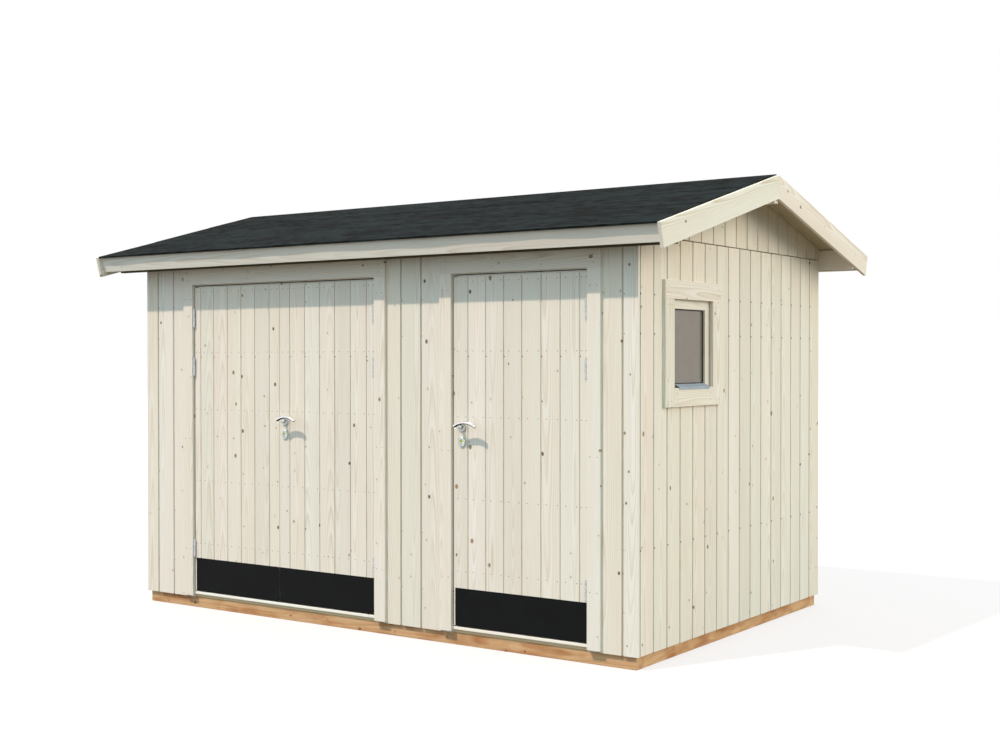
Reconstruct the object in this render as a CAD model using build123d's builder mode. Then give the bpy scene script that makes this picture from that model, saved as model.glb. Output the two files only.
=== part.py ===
# A timber garden shed with a double door and a single door in its front, one window in its right wall
# and a low felted gable roof. X runs along the front, the front faces minus Y and Z is up.
# The origin lies on the ground, in the middle of the plan. All lengths are in millimetres.
from build123d import *
import math
import os

os.makedirs("parts", exist_ok=True)

half_share = 0.5
overrun = 60.0

# walls: vertical boards nailed on a light inner frame
wall_depth = 2186.0
cladding = 16.0
stud = 45.0
joint_gap = 1.0

# base timbers, set back under the walls, and the floor on them
base_height = 64.0
base_recess = 17.0
base_beam_width = 70.0
cross_beam_count = 3
floor_thickness = 18.0

# front wall, from left to right: pier, double doorway, pier, single doorway, pier
left_pier = 410.0
double_doorway = 1392.0
middle_pier = 513.0
single_doorway = 813.0
right_pier = 272.0
doorway_height = 1841.0
header_height = 91.0
wall_over_headers = 58.0
casing_width = 75.0
casing_thickness = 16.0
casing_rise = 8.5
jamb_stop = 15.0
jamb_stop_gap = 7.0
threshold_height = 33.0
threshold_edge = 16.0

# door leaves
leaf_side_gap = 6.0
leaf_meeting_gap = 6.0
leaf_foot_gap = 6.0
leaf_head_gap = 8.0
leaf_rail_reveal = 11.0
seam_share = 0.4945
leaf_thickness = 18.0
ledge_height = 95.0
ledge_thickness = 18.0
ledge_set_back = 30.0
low_ledge_rise = 77.0
middle_ledge_share = 0.523
kick_plate_height = 193.7
kick_plate_thickness = 2.0
kick_plate_left_inset = 11.0
kick_plate_right_inset = 2.0

# hinges: a barrel in the corner between casing and leaf, a pin and two flaps
low_hinge_gap = 2.3
high_hinge_drop = 123.0
high_hinge_pitch = 287.0
hinge_height = 109.0
barrel_radius = 7.0
barrel_side_gap = 0.5
barrel_face_gap = 1.0
pin_radius = 3.0
bore_radius = 3.4
hinge_play = 1.0
flap_thickness = 2.0
flap_depth = 14.0

# lever handles and lock plates
spindle_rise = 1018.0
cylinder_drop = 75.0
double_backset = 41.0
single_backset = 55.0
rosette_radius = 24.0
rosette_thickness = 9.0
lock_plate_width = 44.0
lock_plate_height = 51.0
lock_plate_thickness = 11.0
lever_neck_radius = 9.0
lever_play = 0.5
lever_standoff = 62.0
lever_depth = 20.0
lever_thickness = 15.0
lever_heel = 12.0
lever_reach = 132.0
lever_crown = 33.0
lever_arch = 23.0

# window in the right wall, from the front face of the front wall
window_front = 326.0
window_width = 431.0
window_height = 447.0
window_head_drop = 287.0
sash_width = 52.0
sash_foot_width = 24.0
sash_thickness = 40.0
sash_recess = 7.0
glass_thickness = 4.0
glass_seat = 15.0
trim_lap = 6.0
trim_width = 94.0
trim_top_height = 92.0
trim_bottom_height = 93.0
trim_thickness = 17.0
sill_sheet = 2.0
sill_overhang = 2.5
sill_fall = 15.0
sill_lip = 12.5

# roof: boards and felt on a ridge beam and two eave plates
roof_pitch = 15.0
roof_lift = 64.4
felt_thickness = 4.0
roof_board_thickness = 16.0
side_overhang = 227.0
eave_overhang = 202.0
felt_drip = 16.0
felt_lip = 6.0
barge_width = 120.0
barge_thickness = 18.0
fascia_width = 96.0
fascia_thickness = 18.0
fascia_set_back = 24.0
ridge_beam_width = 45.0
ridge_beam_depth = 130.3
eave_plate_thickness = 26.0

# values that follow from the sizes above
wall_width = left_pier + double_doorway + middle_pier + single_doorway + right_pier
half_width = wall_width * half_share
half_depth = wall_depth * half_share
header_underside = base_height + doorway_height
eave_plate_underside = header_underside + header_height
wall_top = eave_plate_underside + wall_over_headers
threshold_top = base_height + threshold_height
leaf_bottom = threshold_top + leaf_foot_gap
leaf_rail_top = header_underside - leaf_head_gap
leaf_boards_top = leaf_rail_top - leaf_rail_reveal
kick_plate_top = leaf_bottom + kick_plate_height
ledge_bottoms = (
    leaf_bottom + low_ledge_rise,
    leaf_bottom + (leaf_boards_top - leaf_bottom) * middle_ledge_share,
    leaf_rail_top - ledge_height,
)
high_hinge_low = leaf_boards_top - high_hinge_drop - hinge_height
hinge_bottoms = (kick_plate_top + low_hinge_gap, high_hinge_low - high_hinge_pitch, high_hinge_low)
barrel_side = barrel_radius + barrel_side_gap
barrel_standoff = barrel_radius + barrel_face_gap
jamb_stop_face = leaf_thickness + jamb_stop_gap
spindle_height = leaf_bottom + spindle_rise
cylinder_height = spindle_height - cylinder_drop
window_back = window_front + window_width
window_top = wall_top - window_head_drop
window_bottom = window_top - window_height
front_face = -half_depth
back_face = half_depth
left_face = -half_width
right_face = half_width
frame_inner = cladding + stud
pitch_cos = math.cos(math.radians(roof_pitch))
pitch_sin = math.sin(math.radians(roof_pitch))
pitch_tan = pitch_sin / pitch_cos
barge_outer = half_width + side_overhang
barge_inner = barge_outer - barge_thickness
roof_depth = felt_thickness + roof_board_thickness
barge_line = (half_depth + eave_overhang) / pitch_cos
fascia_line = barge_line - fascia_set_back
ridge_height = wall_top + roof_lift + roof_depth / pitch_cos + half_depth * pitch_tan
ridge_beam_underside = ridge_height - roof_depth / pitch_cos - ridge_beam_depth
double_low = left_face + left_pier
double_high = double_low + double_doorway
single_low = double_high + middle_pier
single_high = single_low + single_doorway
seam = double_low + double_doorway * seam_share
door_openings = ((double_low, double_high), (single_low, single_high))
left_leaf = (double_low + leaf_side_gap, seam - leaf_meeting_gap * half_share)
right_leaf = (seam + leaf_meeting_gap * half_share, double_high - leaf_side_gap)
single_leaf = (single_low + leaf_side_gap, single_high - leaf_side_gap)
trim_front = front_face + window_front + trim_lap
trim_back = front_face + window_back - trim_lap
trim_low = window_bottom + trim_lap
trim_high = window_top - trim_lap


def block(x_low, x_high, y_low, y_high, z_low, z_high, mode=Mode.ADD):
    # a square-edged timber between two corners
    with Locations((x_low, y_low, z_low)):
        Box(
            x_high - x_low,
            y_high - y_low,
            z_high - z_low,
            align=(Align.MIN, Align.MIN, Align.MIN),
            mode=mode,
        )


def slope_point(side, along, up):
    # a point of the roof section: along runs down the slope from the ridge, up stands square to it
    return (
        side * (along * pitch_cos + up * pitch_sin),
        ridge_height - along * pitch_sin + up * pitch_cos,
    )


def ridge_point(up):
    # the same layer of the roof, met by the upright plane through the ridge
    return (0, ridge_height + up / pitch_cos)


def roof_underside(y):
    # height of the underside of the roof boards over a place in the plan
    return ridge_height - roof_depth / pitch_cos - abs(y) * pitch_tan


def prism(points, x_low, x_high, mode=Mode.ADD):
    # a section of the shed, seen along X, carried from one X to another
    with BuildSketch(Plane.YZ.offset(x_low)) as section:
        with BuildLine():
            Polyline(*points, close=True)
        make_face()
    extrude(section.sketch, amount=x_high - x_low, mode=mode)


# base beams under the four walls and across, apart by a saw cut where they meet
with BuildPart() as base_beams:
    beam_low = left_face + base_recess
    beam_high = right_face - base_recess
    for side in (-1, 1):
        outer = side * (half_depth - base_recess)
        inner = outer - side * base_beam_width
        block(beam_low, beam_high, min(outer, inner), max(outer, inner), 0, base_height)
    cross_low = front_face + base_recess + base_beam_width + joint_gap
    cross_run = beam_high - beam_low - base_beam_width
    for place in range(cross_beam_count + 2):
        start = beam_low + cross_run * place / (cross_beam_count + 1)
        block(start, start + base_beam_width, cross_low, -cross_low, 0, base_height)
base_beams.part.label = "base_beams"
export_step(base_beams.part, "parts/base_beams.step")

with BuildPart() as floor_boards:
    block(
        left_face + frame_inner,
        right_face - frame_inner,
        front_face + frame_inner,
        back_face - frame_inner,
        base_height,
        base_height + floor_thickness,
    )
floor_boards.part.label = "floor_boards"
export_step(floor_boards.part, "parts/floor_boards.step")

# front wall: the boards beside the doorways and the short boards over them
with BuildPart() as front_wall_left:
    block(left_face + cladding, double_low, front_face, front_face + cladding, base_height, wall_top)
front_wall_left.part.label = "front_wall_left"
export_step(front_wall_left.part, "parts/front_wall_left.step")

with BuildPart() as front_wall_middle:
    block(double_high, single_low, front_face, front_face + cladding, base_height, wall_top)
front_wall_middle.part.label = "front_wall_middle"
export_step(front_wall_middle.part, "parts/front_wall_middle.step")

with BuildPart() as front_wall_right:
    block(single_high, right_face, front_face, front_face + cladding, base_height, wall_top)
front_wall_right.part.label = "front_wall_right"
export_step(front_wall_right.part, "parts/front_wall_right.step")

with BuildPart() as front_wall_over_doors:
    for low, high in door_openings:
        block(low, high, front_face, front_face + cladding, header_underside, wall_top)
front_wall_over_doors.part.label = "front_wall_over_doors"
export_step(front_wall_over_doors.part, "parts/front_wall_over_doors.step")

# right wall, around its window
with BuildPart() as right_wall_front:
    block(
        right_face - cladding,
        right_face,
        front_face + cladding,
        front_face + window_front,
        base_height,
        wall_top,
    )
right_wall_front.part.label = "right_wall_front"
export_step(right_wall_front.part, "parts/right_wall_front.step")

with BuildPart() as right_wall_back:
    block(right_face - cladding, right_face, front_face + window_back, back_face, base_height, wall_top)
right_wall_back.part.label = "right_wall_back"
export_step(right_wall_back.part, "parts/right_wall_back.step")

with BuildPart() as right_wall_by_window:
    for low, high in ((base_height, window_bottom), (window_top, wall_top)):
        block(
            right_face - cladding,
            right_face,
            front_face + window_front,
            front_face + window_back,
            low,
            high,
        )
right_wall_by_window.part.label = "right_wall_by_window"
export_step(right_wall_by_window.part, "parts/right_wall_by_window.step")

with BuildPart() as left_wall:
    block(left_face, left_face + cladding, front_face, back_face - cladding, base_height, wall_top)
left_wall.part.label = "left_wall"
export_step(left_wall.part, "parts/left_wall.step")

with BuildPart() as back_wall:
    block(left_face, right_face - cladding, back_face - cladding, back_face, base_height, wall_top)
back_wall.part.label = "back_wall"
export_step(back_wall.part, "parts/back_wall.step")

# gables: boards from the wall top to the roof, over the plates, with a slot for the ridge beam
gable_reach = half_depth + eave_plate_thickness
gable_points = (
    (-gable_reach, wall_top),
    (gable_reach, wall_top),
    (gable_reach, roof_underside(gable_reach)),
    (0, roof_underside(0)),
    (-gable_reach, roof_underside(gable_reach)),
)
with BuildPart() as gables:
    for low in (left_face, right_face - cladding):
        prism(gable_points, low, low + cladding)
        block(
            low - overrun,
            low + cladding + overrun,
            -ridge_beam_width * half_share,
            ridge_beam_width * half_share,
            ridge_beam_underside,
            ridge_height,
            Mode.SUBTRACT,
        )
gables.part.label = "gables"
export_step(gables.part, "parts/gables.step")

# inner frame: posts at the corners, beside the doorways and between, and rails at foot and head
stud_low = base_height + stud + joint_gap
stud_high = wall_top - stud - joint_gap
side_stud_shares = (0.36, 0.68)
back_stud_shares = (0.25, 0.5, 0.75)
with BuildPart() as wall_studs:
    for x_side in (-1, 1):
        for y_side in (-1, 1):
            x_outer = x_side * (half_width - cladding)
            y_outer = y_side * (half_depth - cladding)
            x_inner = x_outer - x_side * stud
            y_inner = y_outer - y_side * stud
            block(
                min(x_outer, x_inner),
                max(x_outer, x_inner),
                min(y_outer, y_inner),
                max(y_outer, y_inner),
                stud_low,
                stud_high,
            )
    for share in side_stud_shares:
        y_low = front_face + cladding + wall_depth * share
        block(left_face + cladding, left_face + frame_inner, y_low, y_low + stud, stud_low, stud_high)
    for y_low in (front_face + window_front - stud, front_face + window_back):
        block(right_face - frame_inner, right_face - cladding, y_low, y_low + stud, stud_low, stud_high)
    for share in back_stud_shares:
        x_low = left_face + wall_width * share - stud * half_share
        block(x_low, x_low + stud, back_face - frame_inner, back_face - cladding, stud_low, stud_high)
wall_studs.part.label = "wall_studs"
export_step(wall_studs.part, "parts/wall_studs.step")

with BuildPart() as door_jambs:
    for low, high in door_openings:
        for edge, inward in ((low, 1), (high, -1)):
            with BuildSketch(Plane.XY.offset(base_height)):
                with BuildLine():
                    Polyline(
                        (edge - inward * stud, front_face + cladding),
                        (edge, front_face + cladding),
                        (edge, front_face + jamb_stop_face),
                        (edge + inward * jamb_stop, front_face + jamb_stop_face),
                        (edge + inward * jamb_stop, front_face + frame_inner),
                        (edge - inward * stud, front_face + frame_inner),
                        close=True,
                    )
                make_face()
            extrude(amount=wall_top - stud - joint_gap - base_height)
door_jambs.part.label = "door_jambs"
export_step(door_jambs.part, "parts/door_jambs.step")

with BuildPart() as wall_rails:
    front_low = front_face + cladding
    front_high = front_face + frame_inner
    between_doors = (
        (left_face + cladding, double_low - stud - joint_gap),
        (double_high + stud + joint_gap, single_low - stud - joint_gap),
        (single_high + stud + joint_gap, right_face - cladding),
    )
    for low, high in between_doors:
        block(low, high, front_low, front_high, base_height, base_height + stud)
    block(left_face + cladding, right_face - cladding, front_low, front_high, wall_top - stud, wall_top)
    for z_low in (base_height, wall_top - stud):
        block(
            left_face + cladding,
            right_face - cladding,
            back_face - frame_inner,
            back_face - cladding,
            z_low,
            z_low + stud,
        )
        for x_low in (left_face + cladding, right_face - frame_inner):
            block(x_low, x_low + stud, front_high + joint_gap, -front_high - joint_gap, z_low, z_low + stud)
wall_rails.part.label = "wall_rails"
export_step(wall_rails.part, "parts/wall_rails.step")

# door surrounds: upright casings, headers over them and thresholds with a recessed lower part
with BuildPart() as door_casings:
    for low, high in door_openings:
        for x_low in (low - casing_width, high):
            block(
                x_low,
                x_low + casing_width,
                front_face - casing_thickness,
                front_face,
                base_height + casing_rise,
                header_underside,
            )
door_casings.part.label = "door_casings"
export_step(door_casings.part, "parts/door_casings.step")

with BuildPart() as door_headers:
    for low, high in door_openings:
        block(
            low - casing_width,
            high + casing_width,
            front_face - casing_thickness,
            front_face,
            header_underside,
            eave_plate_underside,
        )
door_headers.part.label = "door_headers"
export_step(door_headers.part, "parts/door_headers.step")

threshold_points = (
    (front_face + cladding, base_height),
    (front_face + frame_inner, base_height),
    (front_face + frame_inner, threshold_top),
    (front_face, threshold_top),
    (front_face, threshold_top - threshold_edge),
    (front_face + cladding, threshold_top - threshold_edge),
)
with BuildPart() as door_thresholds:
    for low, high in door_openings:
        prism(threshold_points, low + jamb_stop, high - jamb_stop)
        for edge_low, edge_high in ((low, low + jamb_stop), (high - jamb_stop, high)):
            block(
                edge_low,
                edge_high,
                front_face,
                front_face + jamb_stop_face,
                threshold_top - threshold_edge,
                threshold_top,
            )
door_thresholds.part.label = "door_thresholds"
export_step(door_thresholds.part, "parts/door_thresholds.step")

# window: four trim boards, a sash with one pane and a metal sill
with BuildPart() as window_trim_rails:
    for low, high, y_low, y_high in (
        (trim_high, trim_high + trim_top_height, trim_front - trim_width, trim_back + trim_width),
        (trim_low - trim_bottom_height, trim_low, trim_front, trim_back),
    ):
        block(right_face, right_face + trim_thickness, y_low, y_high, low, high)
window_trim_rails.part.label = "window_trim_rails"
export_step(window_trim_rails.part, "parts/window_trim_rails.step")

with BuildPart() as window_trim_sides:
    for y_low in (trim_front - trim_width, trim_back):
        block(
            right_face,
            right_face + trim_thickness,
            y_low,
            y_low + trim_width,
            trim_low - trim_bottom_height,
            trim_high,
        )
window_trim_sides.part.label = "window_trim_sides"
export_step(window_trim_sides.part, "parts/window_trim_sides.step")

sash_outer = right_face - sash_recess
sash_inner = sash_outer - sash_thickness
pane_front = front_face + window_front + sash_width
pane_back = front_face + window_back - sash_width
pane_low = window_bottom + sash_foot_width
pane_high = window_top - sash_width
with BuildPart() as window_sash:
    block(
        sash_inner,
        sash_outer,
        front_face + window_front,
        front_face + window_back,
        window_bottom,
        window_top,
    )
    block(
        sash_inner - overrun,
        sash_outer + overrun,
        pane_front,
        pane_back,
        pane_low,
        pane_high,
        Mode.SUBTRACT,
    )
window_sash.part.label = "window_sash"
export_step(window_sash.part, "parts/window_sash.step")

with BuildPart() as window_glass:
    glass_face = sash_outer - glass_seat
    block(glass_face - glass_thickness, glass_face, pane_front, pane_back, pane_low, pane_high)
window_glass.part.label = "window_glass"
export_step(window_glass.part, "parts/window_glass.step")

sill_face = right_face + trim_thickness + sill_overhang
sill_edge = pane_low - sill_fall
with BuildPart() as window_sill:
    with BuildSketch(Plane.XZ.offset(-pane_front)):
        with BuildLine():
            Polyline(
                (sash_outer, pane_low),
                (sill_face, sill_edge),
                (sill_face, sill_edge - sill_lip),
                (sill_face - sill_sheet, sill_edge - sill_lip),
                (sill_face - sill_sheet, sill_edge - sill_sheet),
                (sash_outer, pane_low - sill_sheet),
                close=True,
            )
        make_face()
    extrude(amount=pane_front - pane_back)
window_sill.part.label = "window_sill"
export_step(window_sill.part, "parts/window_sill.step")

# roof timbers: ridge beam from barge to barge, and a plate outside each long wall, notched for the gables
beam_edge = ridge_beam_width * half_share
ridge_beam_points = (
    (-beam_edge, ridge_beam_underside),
    (beam_edge, ridge_beam_underside),
    (beam_edge, roof_underside(beam_edge)),
    (0, roof_underside(0)),
    (-beam_edge, roof_underside(beam_edge)),
)
with BuildPart() as ridge_beam:
    prism(ridge_beam_points, -barge_inner, barge_inner)
ridge_beam.part.label = "ridge_beam"
export_step(ridge_beam.part, "parts/ridge_beam.step")

with BuildPart() as eave_plates:
    for side in (-1, 1):
        wall_side = side * half_depth
        outer_side = side * gable_reach
        prism(
            (
                (wall_side, eave_plate_underside),
                (outer_side, eave_plate_underside),
                (outer_side, roof_underside(outer_side)),
                (wall_side, roof_underside(wall_side)),
            ),
            -barge_inner,
            barge_inner,
        )
    for low in (left_face, right_face - cladding):
        block(
            low,
            low + cladding,
            -gable_reach - overrun,
            gable_reach + overrun,
            wall_top,
            ridge_height,
            Mode.SUBTRACT,
        )
eave_plates.part.label = "eave_plates"
export_step(eave_plates.part, "parts/eave_plates.step")

# roof boards and felt of one slope, from the ridge to the eave
fascia_back = fascia_line - fascia_thickness


def board_points(side):
    return (
        ridge_point(-felt_thickness),
        ridge_point(-roof_depth),
        slope_point(side, fascia_back, -roof_depth),
        slope_point(side, fascia_back, -felt_thickness),
    )


def felt_points(side):
    edge = fascia_line + felt_drip
    return (
        ridge_point(0),
        ridge_point(-felt_thickness),
        slope_point(side, edge - felt_thickness, -felt_thickness),
        slope_point(side, edge - felt_thickness, -felt_thickness - felt_lip),
        slope_point(side, edge, -felt_thickness - felt_lip),
        slope_point(side, edge, 0),
    )


with BuildPart() as roof_boards_front:
    prism(board_points(-1), -barge_inner, barge_inner)
roof_boards_front.part.label = "roof_boards_front"
export_step(roof_boards_front.part, "parts/roof_boards_front.step")

with BuildPart() as roof_boards_back:
    prism(board_points(1), -barge_inner, barge_inner)
roof_boards_back.part.label = "roof_boards_back"
export_step(roof_boards_back.part, "parts/roof_boards_back.step")

with BuildPart() as roof_felt_front:
    prism(felt_points(-1), -barge_inner, barge_inner)
roof_felt_front.part.label = "roof_felt_front"
export_step(roof_felt_front.part, "parts/roof_felt_front.step")

with BuildPart() as roof_felt_back:
    prism(felt_points(1), -barge_inner, barge_inner)
roof_felt_back.part.label = "roof_felt_back"
export_step(roof_felt_back.part, "parts/roof_felt_back.step")

with BuildPart() as fascia_boards:
    for side in (-1, 1):
        prism(
            (
                slope_point(side, fascia_back, -felt_thickness),
                slope_point(side, fascia_line, -felt_thickness),
                slope_point(side, fascia_line, -felt_thickness - fascia_width),
                slope_point(side, fascia_back, -felt_thickness - fascia_width),
            ),
            -barge_inner,
            barge_inner,
        )
fascia_boards.part.label = "fascia_boards"
export_step(fascia_boards.part, "parts/fascia_boards.step")


def barge_points(side):
    return (
        ridge_point(-felt_thickness),
        ridge_point(-felt_thickness - barge_width),
        slope_point(side, barge_line, -felt_thickness - barge_width),
        slope_point(side, barge_line, -felt_thickness),
    )


with BuildPart() as barge_boards_front:
    for low in (-barge_outer, barge_inner):
        prism(barge_points(-1), low, low + barge_thickness)
barge_boards_front.part.label = "barge_boards_front"
export_step(barge_boards_front.part, "parts/barge_boards_front.step")

with BuildPart() as barge_boards_back:
    for low in (-barge_outer, barge_inner):
        prism(barge_points(1), low, low + barge_thickness)
barge_boards_back.part.label = "barge_boards_back"
export_step(barge_boards_back.part, "parts/barge_boards_back.step")


def leaf_boards(span):
    block(span[0], span[-1], front_face, front_face + leaf_thickness, leaf_bottom, leaf_boards_top)


def leaf_ledges(span):
    back = front_face + leaf_thickness
    for z_low in ledge_bottoms:
        block(
            span[0] + ledge_set_back,
            span[-1] - ledge_set_back,
            back,
            back + ledge_thickness,
            z_low,
            z_low + ledge_height,
        )


def kick_plate(start, end):
    block(start, end, front_face - kick_plate_thickness, front_face, leaf_bottom, kick_plate_top)


def hinge_half(edge, inward, on_leaf):
    # one half of each hinge at a jamb: the frame keeps the lower barrel and pin, the leaf the upper barrel
    half = hinge_height * half_share
    pin_x = edge + inward * barrel_side
    pin_y = front_face - barrel_standoff
    flap_edge = edge + inward * (leaf_side_gap if on_leaf else 0)
    flap_free = flap_edge - inward * flap_thickness if on_leaf else flap_edge + inward * flap_thickness
    for hinge_low in hinge_bottoms:
        barrel_low = hinge_low + half + hinge_play * half_share if on_leaf else hinge_low
        barrel_high = hinge_low + hinge_height if on_leaf else hinge_low + half - hinge_play * half_share
        with BuildSketch(Plane.XY.offset(barrel_low)) as barrel:
            with Locations((pin_x, pin_y)):
                Circle(barrel_radius)
        extrude(barrel.sketch, amount=barrel_high - barrel_low)
        block(
            min(flap_edge, flap_free),
            max(flap_edge, flap_free),
            pin_y,
            front_face + flap_depth,
            barrel_low,
            barrel_high,
        )
        if on_leaf:
            with BuildSketch(Plane.XY.offset(barrel_low)) as bore:
                with Locations((pin_x, pin_y)):
                    Circle(bore_radius)
            extrude(bore.sketch, amount=half - hinge_play - pin_radius, mode=Mode.SUBTRACT)
        else:
            with BuildSketch(Plane.XY.offset(barrel_high)) as pin:
                with Locations((pin_x, pin_y)):
                    Circle(pin_radius)
            extrude(pin.sketch, amount=half - hinge_play - pin_radius)


with BuildPart() as frame_hinges:
    for edge, inward in ((double_low, 1), (double_high, -1), (single_high, -1)):
        hinge_half(edge, inward, False)
frame_hinges.part.label = "frame_hinges"
export_step(frame_hinges.part, "parts/frame_hinges.step")


def lock_plates(spindle_x):
    # a round rosette under the lever and an oval plate over the lock cylinder
    with BuildSketch(Plane.XZ.offset(-front_face)) as rosette:
        with Locations((spindle_x, spindle_height)):
            Circle(rosette_radius)
    extrude(rosette.sketch, amount=rosette_thickness)
    with BuildSketch(Plane.XZ.offset(-front_face)) as plate:
        with Locations((spindle_x, cylinder_height)):
            Ellipse(lock_plate_width * half_share, lock_plate_height * half_share)
    extrude(plate.sketch, amount=lock_plate_thickness)


def lever(spindle_x):
    # a round neck out of the rosette and an arched bar along the door
    with BuildSketch(Plane.XZ.offset(-front_face + rosette_thickness + lever_play)) as neck:
        with Locations((spindle_x, spindle_height)):
            Circle(lever_neck_radius)
    extrude(neck.sketch, amount=lever_standoff - rosette_thickness - lever_play)
    start = spindle_x - lever_heel
    tip = spindle_x + lever_reach
    middle = (start + tip) * half_share
    crown = spindle_height + lever_crown
    end = crown - lever_arch
    under = lever_thickness
    with BuildSketch(Plane.XZ.offset(-front_face + lever_standoff - lever_depth * half_share)) as arm:
        with BuildLine():
            ThreePointArc((start, end), (middle, crown), (tip, end))
            Line((tip, end), (tip, end - under))
            ThreePointArc((tip, end - under), (middle, crown - under), (start, end - under))
            Line((start, end - under), (start, end))
        make_face()
    extrude(arm.sketch, amount=lever_depth)


# the left leaf of the double door
with BuildPart() as left_leaf_boards:
    leaf_boards(left_leaf)
left_leaf_boards.part.label = "left_leaf_boards"
export_step(left_leaf_boards.part, "parts/left_leaf_boards.step")

with BuildPart() as left_leaf_ledges:
    leaf_ledges(left_leaf)
left_leaf_ledges.part.label = "left_leaf_ledges"
export_step(left_leaf_ledges.part, "parts/left_leaf_ledges.step")

with BuildPart() as left_leaf_kick_plate:
    kick_plate(left_leaf[0] + kick_plate_left_inset, left_leaf[-1])
left_leaf_kick_plate.part.label = "left_leaf_kick_plate"
export_step(left_leaf_kick_plate.part, "parts/left_leaf_kick_plate.step")

with BuildPart() as left_leaf_hinges:
    hinge_half(double_low, 1, True)
left_leaf_hinges.part.label = "left_leaf_hinges"
export_step(left_leaf_hinges.part, "parts/left_leaf_hinges.step")

# the right leaf of the double door, with its handle
with BuildPart() as right_leaf_boards:
    leaf_boards(right_leaf)
right_leaf_boards.part.label = "right_leaf_boards"
export_step(right_leaf_boards.part, "parts/right_leaf_boards.step")

with BuildPart() as right_leaf_ledges:
    leaf_ledges(right_leaf)
right_leaf_ledges.part.label = "right_leaf_ledges"
export_step(right_leaf_ledges.part, "parts/right_leaf_ledges.step")

with BuildPart() as right_leaf_kick_plate:
    kick_plate(right_leaf[0], right_leaf[-1] - kick_plate_right_inset)
right_leaf_kick_plate.part.label = "right_leaf_kick_plate"
export_step(right_leaf_kick_plate.part, "parts/right_leaf_kick_plate.step")

with BuildPart() as right_leaf_hinges:
    hinge_half(double_high, -1, True)
right_leaf_hinges.part.label = "right_leaf_hinges"
export_step(right_leaf_hinges.part, "parts/right_leaf_hinges.step")

with BuildPart() as right_leaf_lock_plates:
    lock_plates(right_leaf[0] + double_backset)
right_leaf_lock_plates.part.label = "right_leaf_lock_plates"
export_step(right_leaf_lock_plates.part, "parts/right_leaf_lock_plates.step")

with BuildPart() as right_leaf_lever:
    lever(right_leaf[0] + double_backset)
right_leaf_lever.part.label = "right_leaf_lever"
export_step(right_leaf_lever.part, "parts/right_leaf_lever.step")

# the single door
with BuildPart() as single_leaf_boards:
    leaf_boards(single_leaf)
single_leaf_boards.part.label = "single_leaf_boards"
export_step(single_leaf_boards.part, "parts/single_leaf_boards.step")

with BuildPart() as single_leaf_ledges:
    leaf_ledges(single_leaf)
single_leaf_ledges.part.label = "single_leaf_ledges"
export_step(single_leaf_ledges.part, "parts/single_leaf_ledges.step")

with BuildPart() as single_leaf_kick_plate:
    kick_plate(single_leaf[0] + kick_plate_left_inset, single_leaf[-1] - kick_plate_right_inset)
single_leaf_kick_plate.part.label = "single_leaf_kick_plate"
export_step(single_leaf_kick_plate.part, "parts/single_leaf_kick_plate.step")

with BuildPart() as single_leaf_hinges:
    hinge_half(single_high, -1, True)
single_leaf_hinges.part.label = "single_leaf_hinges"
export_step(single_leaf_hinges.part, "parts/single_leaf_hinges.step")

with BuildPart() as single_leaf_lock_plates:
    lock_plates(single_leaf[0] + single_backset)
single_leaf_lock_plates.part.label = "single_leaf_lock_plates"
export_step(single_leaf_lock_plates.part, "parts/single_leaf_lock_plates.step")

with BuildPart() as single_leaf_lever:
    lever(single_leaf[0] + single_backset)
single_leaf_lever.part.label = "single_leaf_lever"
export_step(single_leaf_lever.part, "parts/single_leaf_lever.step")
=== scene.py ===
from math import cos, pi, radians, sin, tan
import bmesh
import bpy
import numpy as np
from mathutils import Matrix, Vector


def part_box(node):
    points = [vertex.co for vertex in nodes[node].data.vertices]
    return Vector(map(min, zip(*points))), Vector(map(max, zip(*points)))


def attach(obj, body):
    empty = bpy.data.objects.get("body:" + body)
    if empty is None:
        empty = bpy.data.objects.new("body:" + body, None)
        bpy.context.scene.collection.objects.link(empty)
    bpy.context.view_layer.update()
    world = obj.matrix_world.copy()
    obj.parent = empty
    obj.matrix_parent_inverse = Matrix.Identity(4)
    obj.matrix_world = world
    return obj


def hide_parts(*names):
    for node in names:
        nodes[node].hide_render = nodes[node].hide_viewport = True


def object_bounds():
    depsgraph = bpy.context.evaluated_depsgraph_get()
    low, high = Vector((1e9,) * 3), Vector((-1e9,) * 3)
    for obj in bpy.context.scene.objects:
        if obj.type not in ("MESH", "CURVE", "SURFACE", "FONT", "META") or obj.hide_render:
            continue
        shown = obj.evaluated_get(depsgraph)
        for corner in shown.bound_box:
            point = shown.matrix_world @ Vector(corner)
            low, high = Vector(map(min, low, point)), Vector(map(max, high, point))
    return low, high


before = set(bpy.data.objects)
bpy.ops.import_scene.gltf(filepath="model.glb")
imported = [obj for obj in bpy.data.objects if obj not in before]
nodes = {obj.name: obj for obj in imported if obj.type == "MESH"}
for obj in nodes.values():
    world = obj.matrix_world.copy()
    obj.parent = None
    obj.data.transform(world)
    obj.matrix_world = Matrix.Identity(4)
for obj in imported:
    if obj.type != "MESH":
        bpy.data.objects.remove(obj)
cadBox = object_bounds()
mm = 0.001
seed = 41
east, north, up = np.eye(3)
print("frame loaded:", len(nodes), "nodes")


# sRGB hex to linear light: c / 12.92 up to 0.04045, above that ((c + 0.055) / 1.055) to the power 2.4
def toLinear(hexCode):
    c = np.array([int(hexCode[i:i + 2], 16) for i in (1, 3, 5)]) / 255
    return (*np.where(c <= 0.04045, c / 12.92, ((c + 0.055) / 1.055) ** 2.4), 1.0)


trees = []  # the last one is the node tree in work


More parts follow.
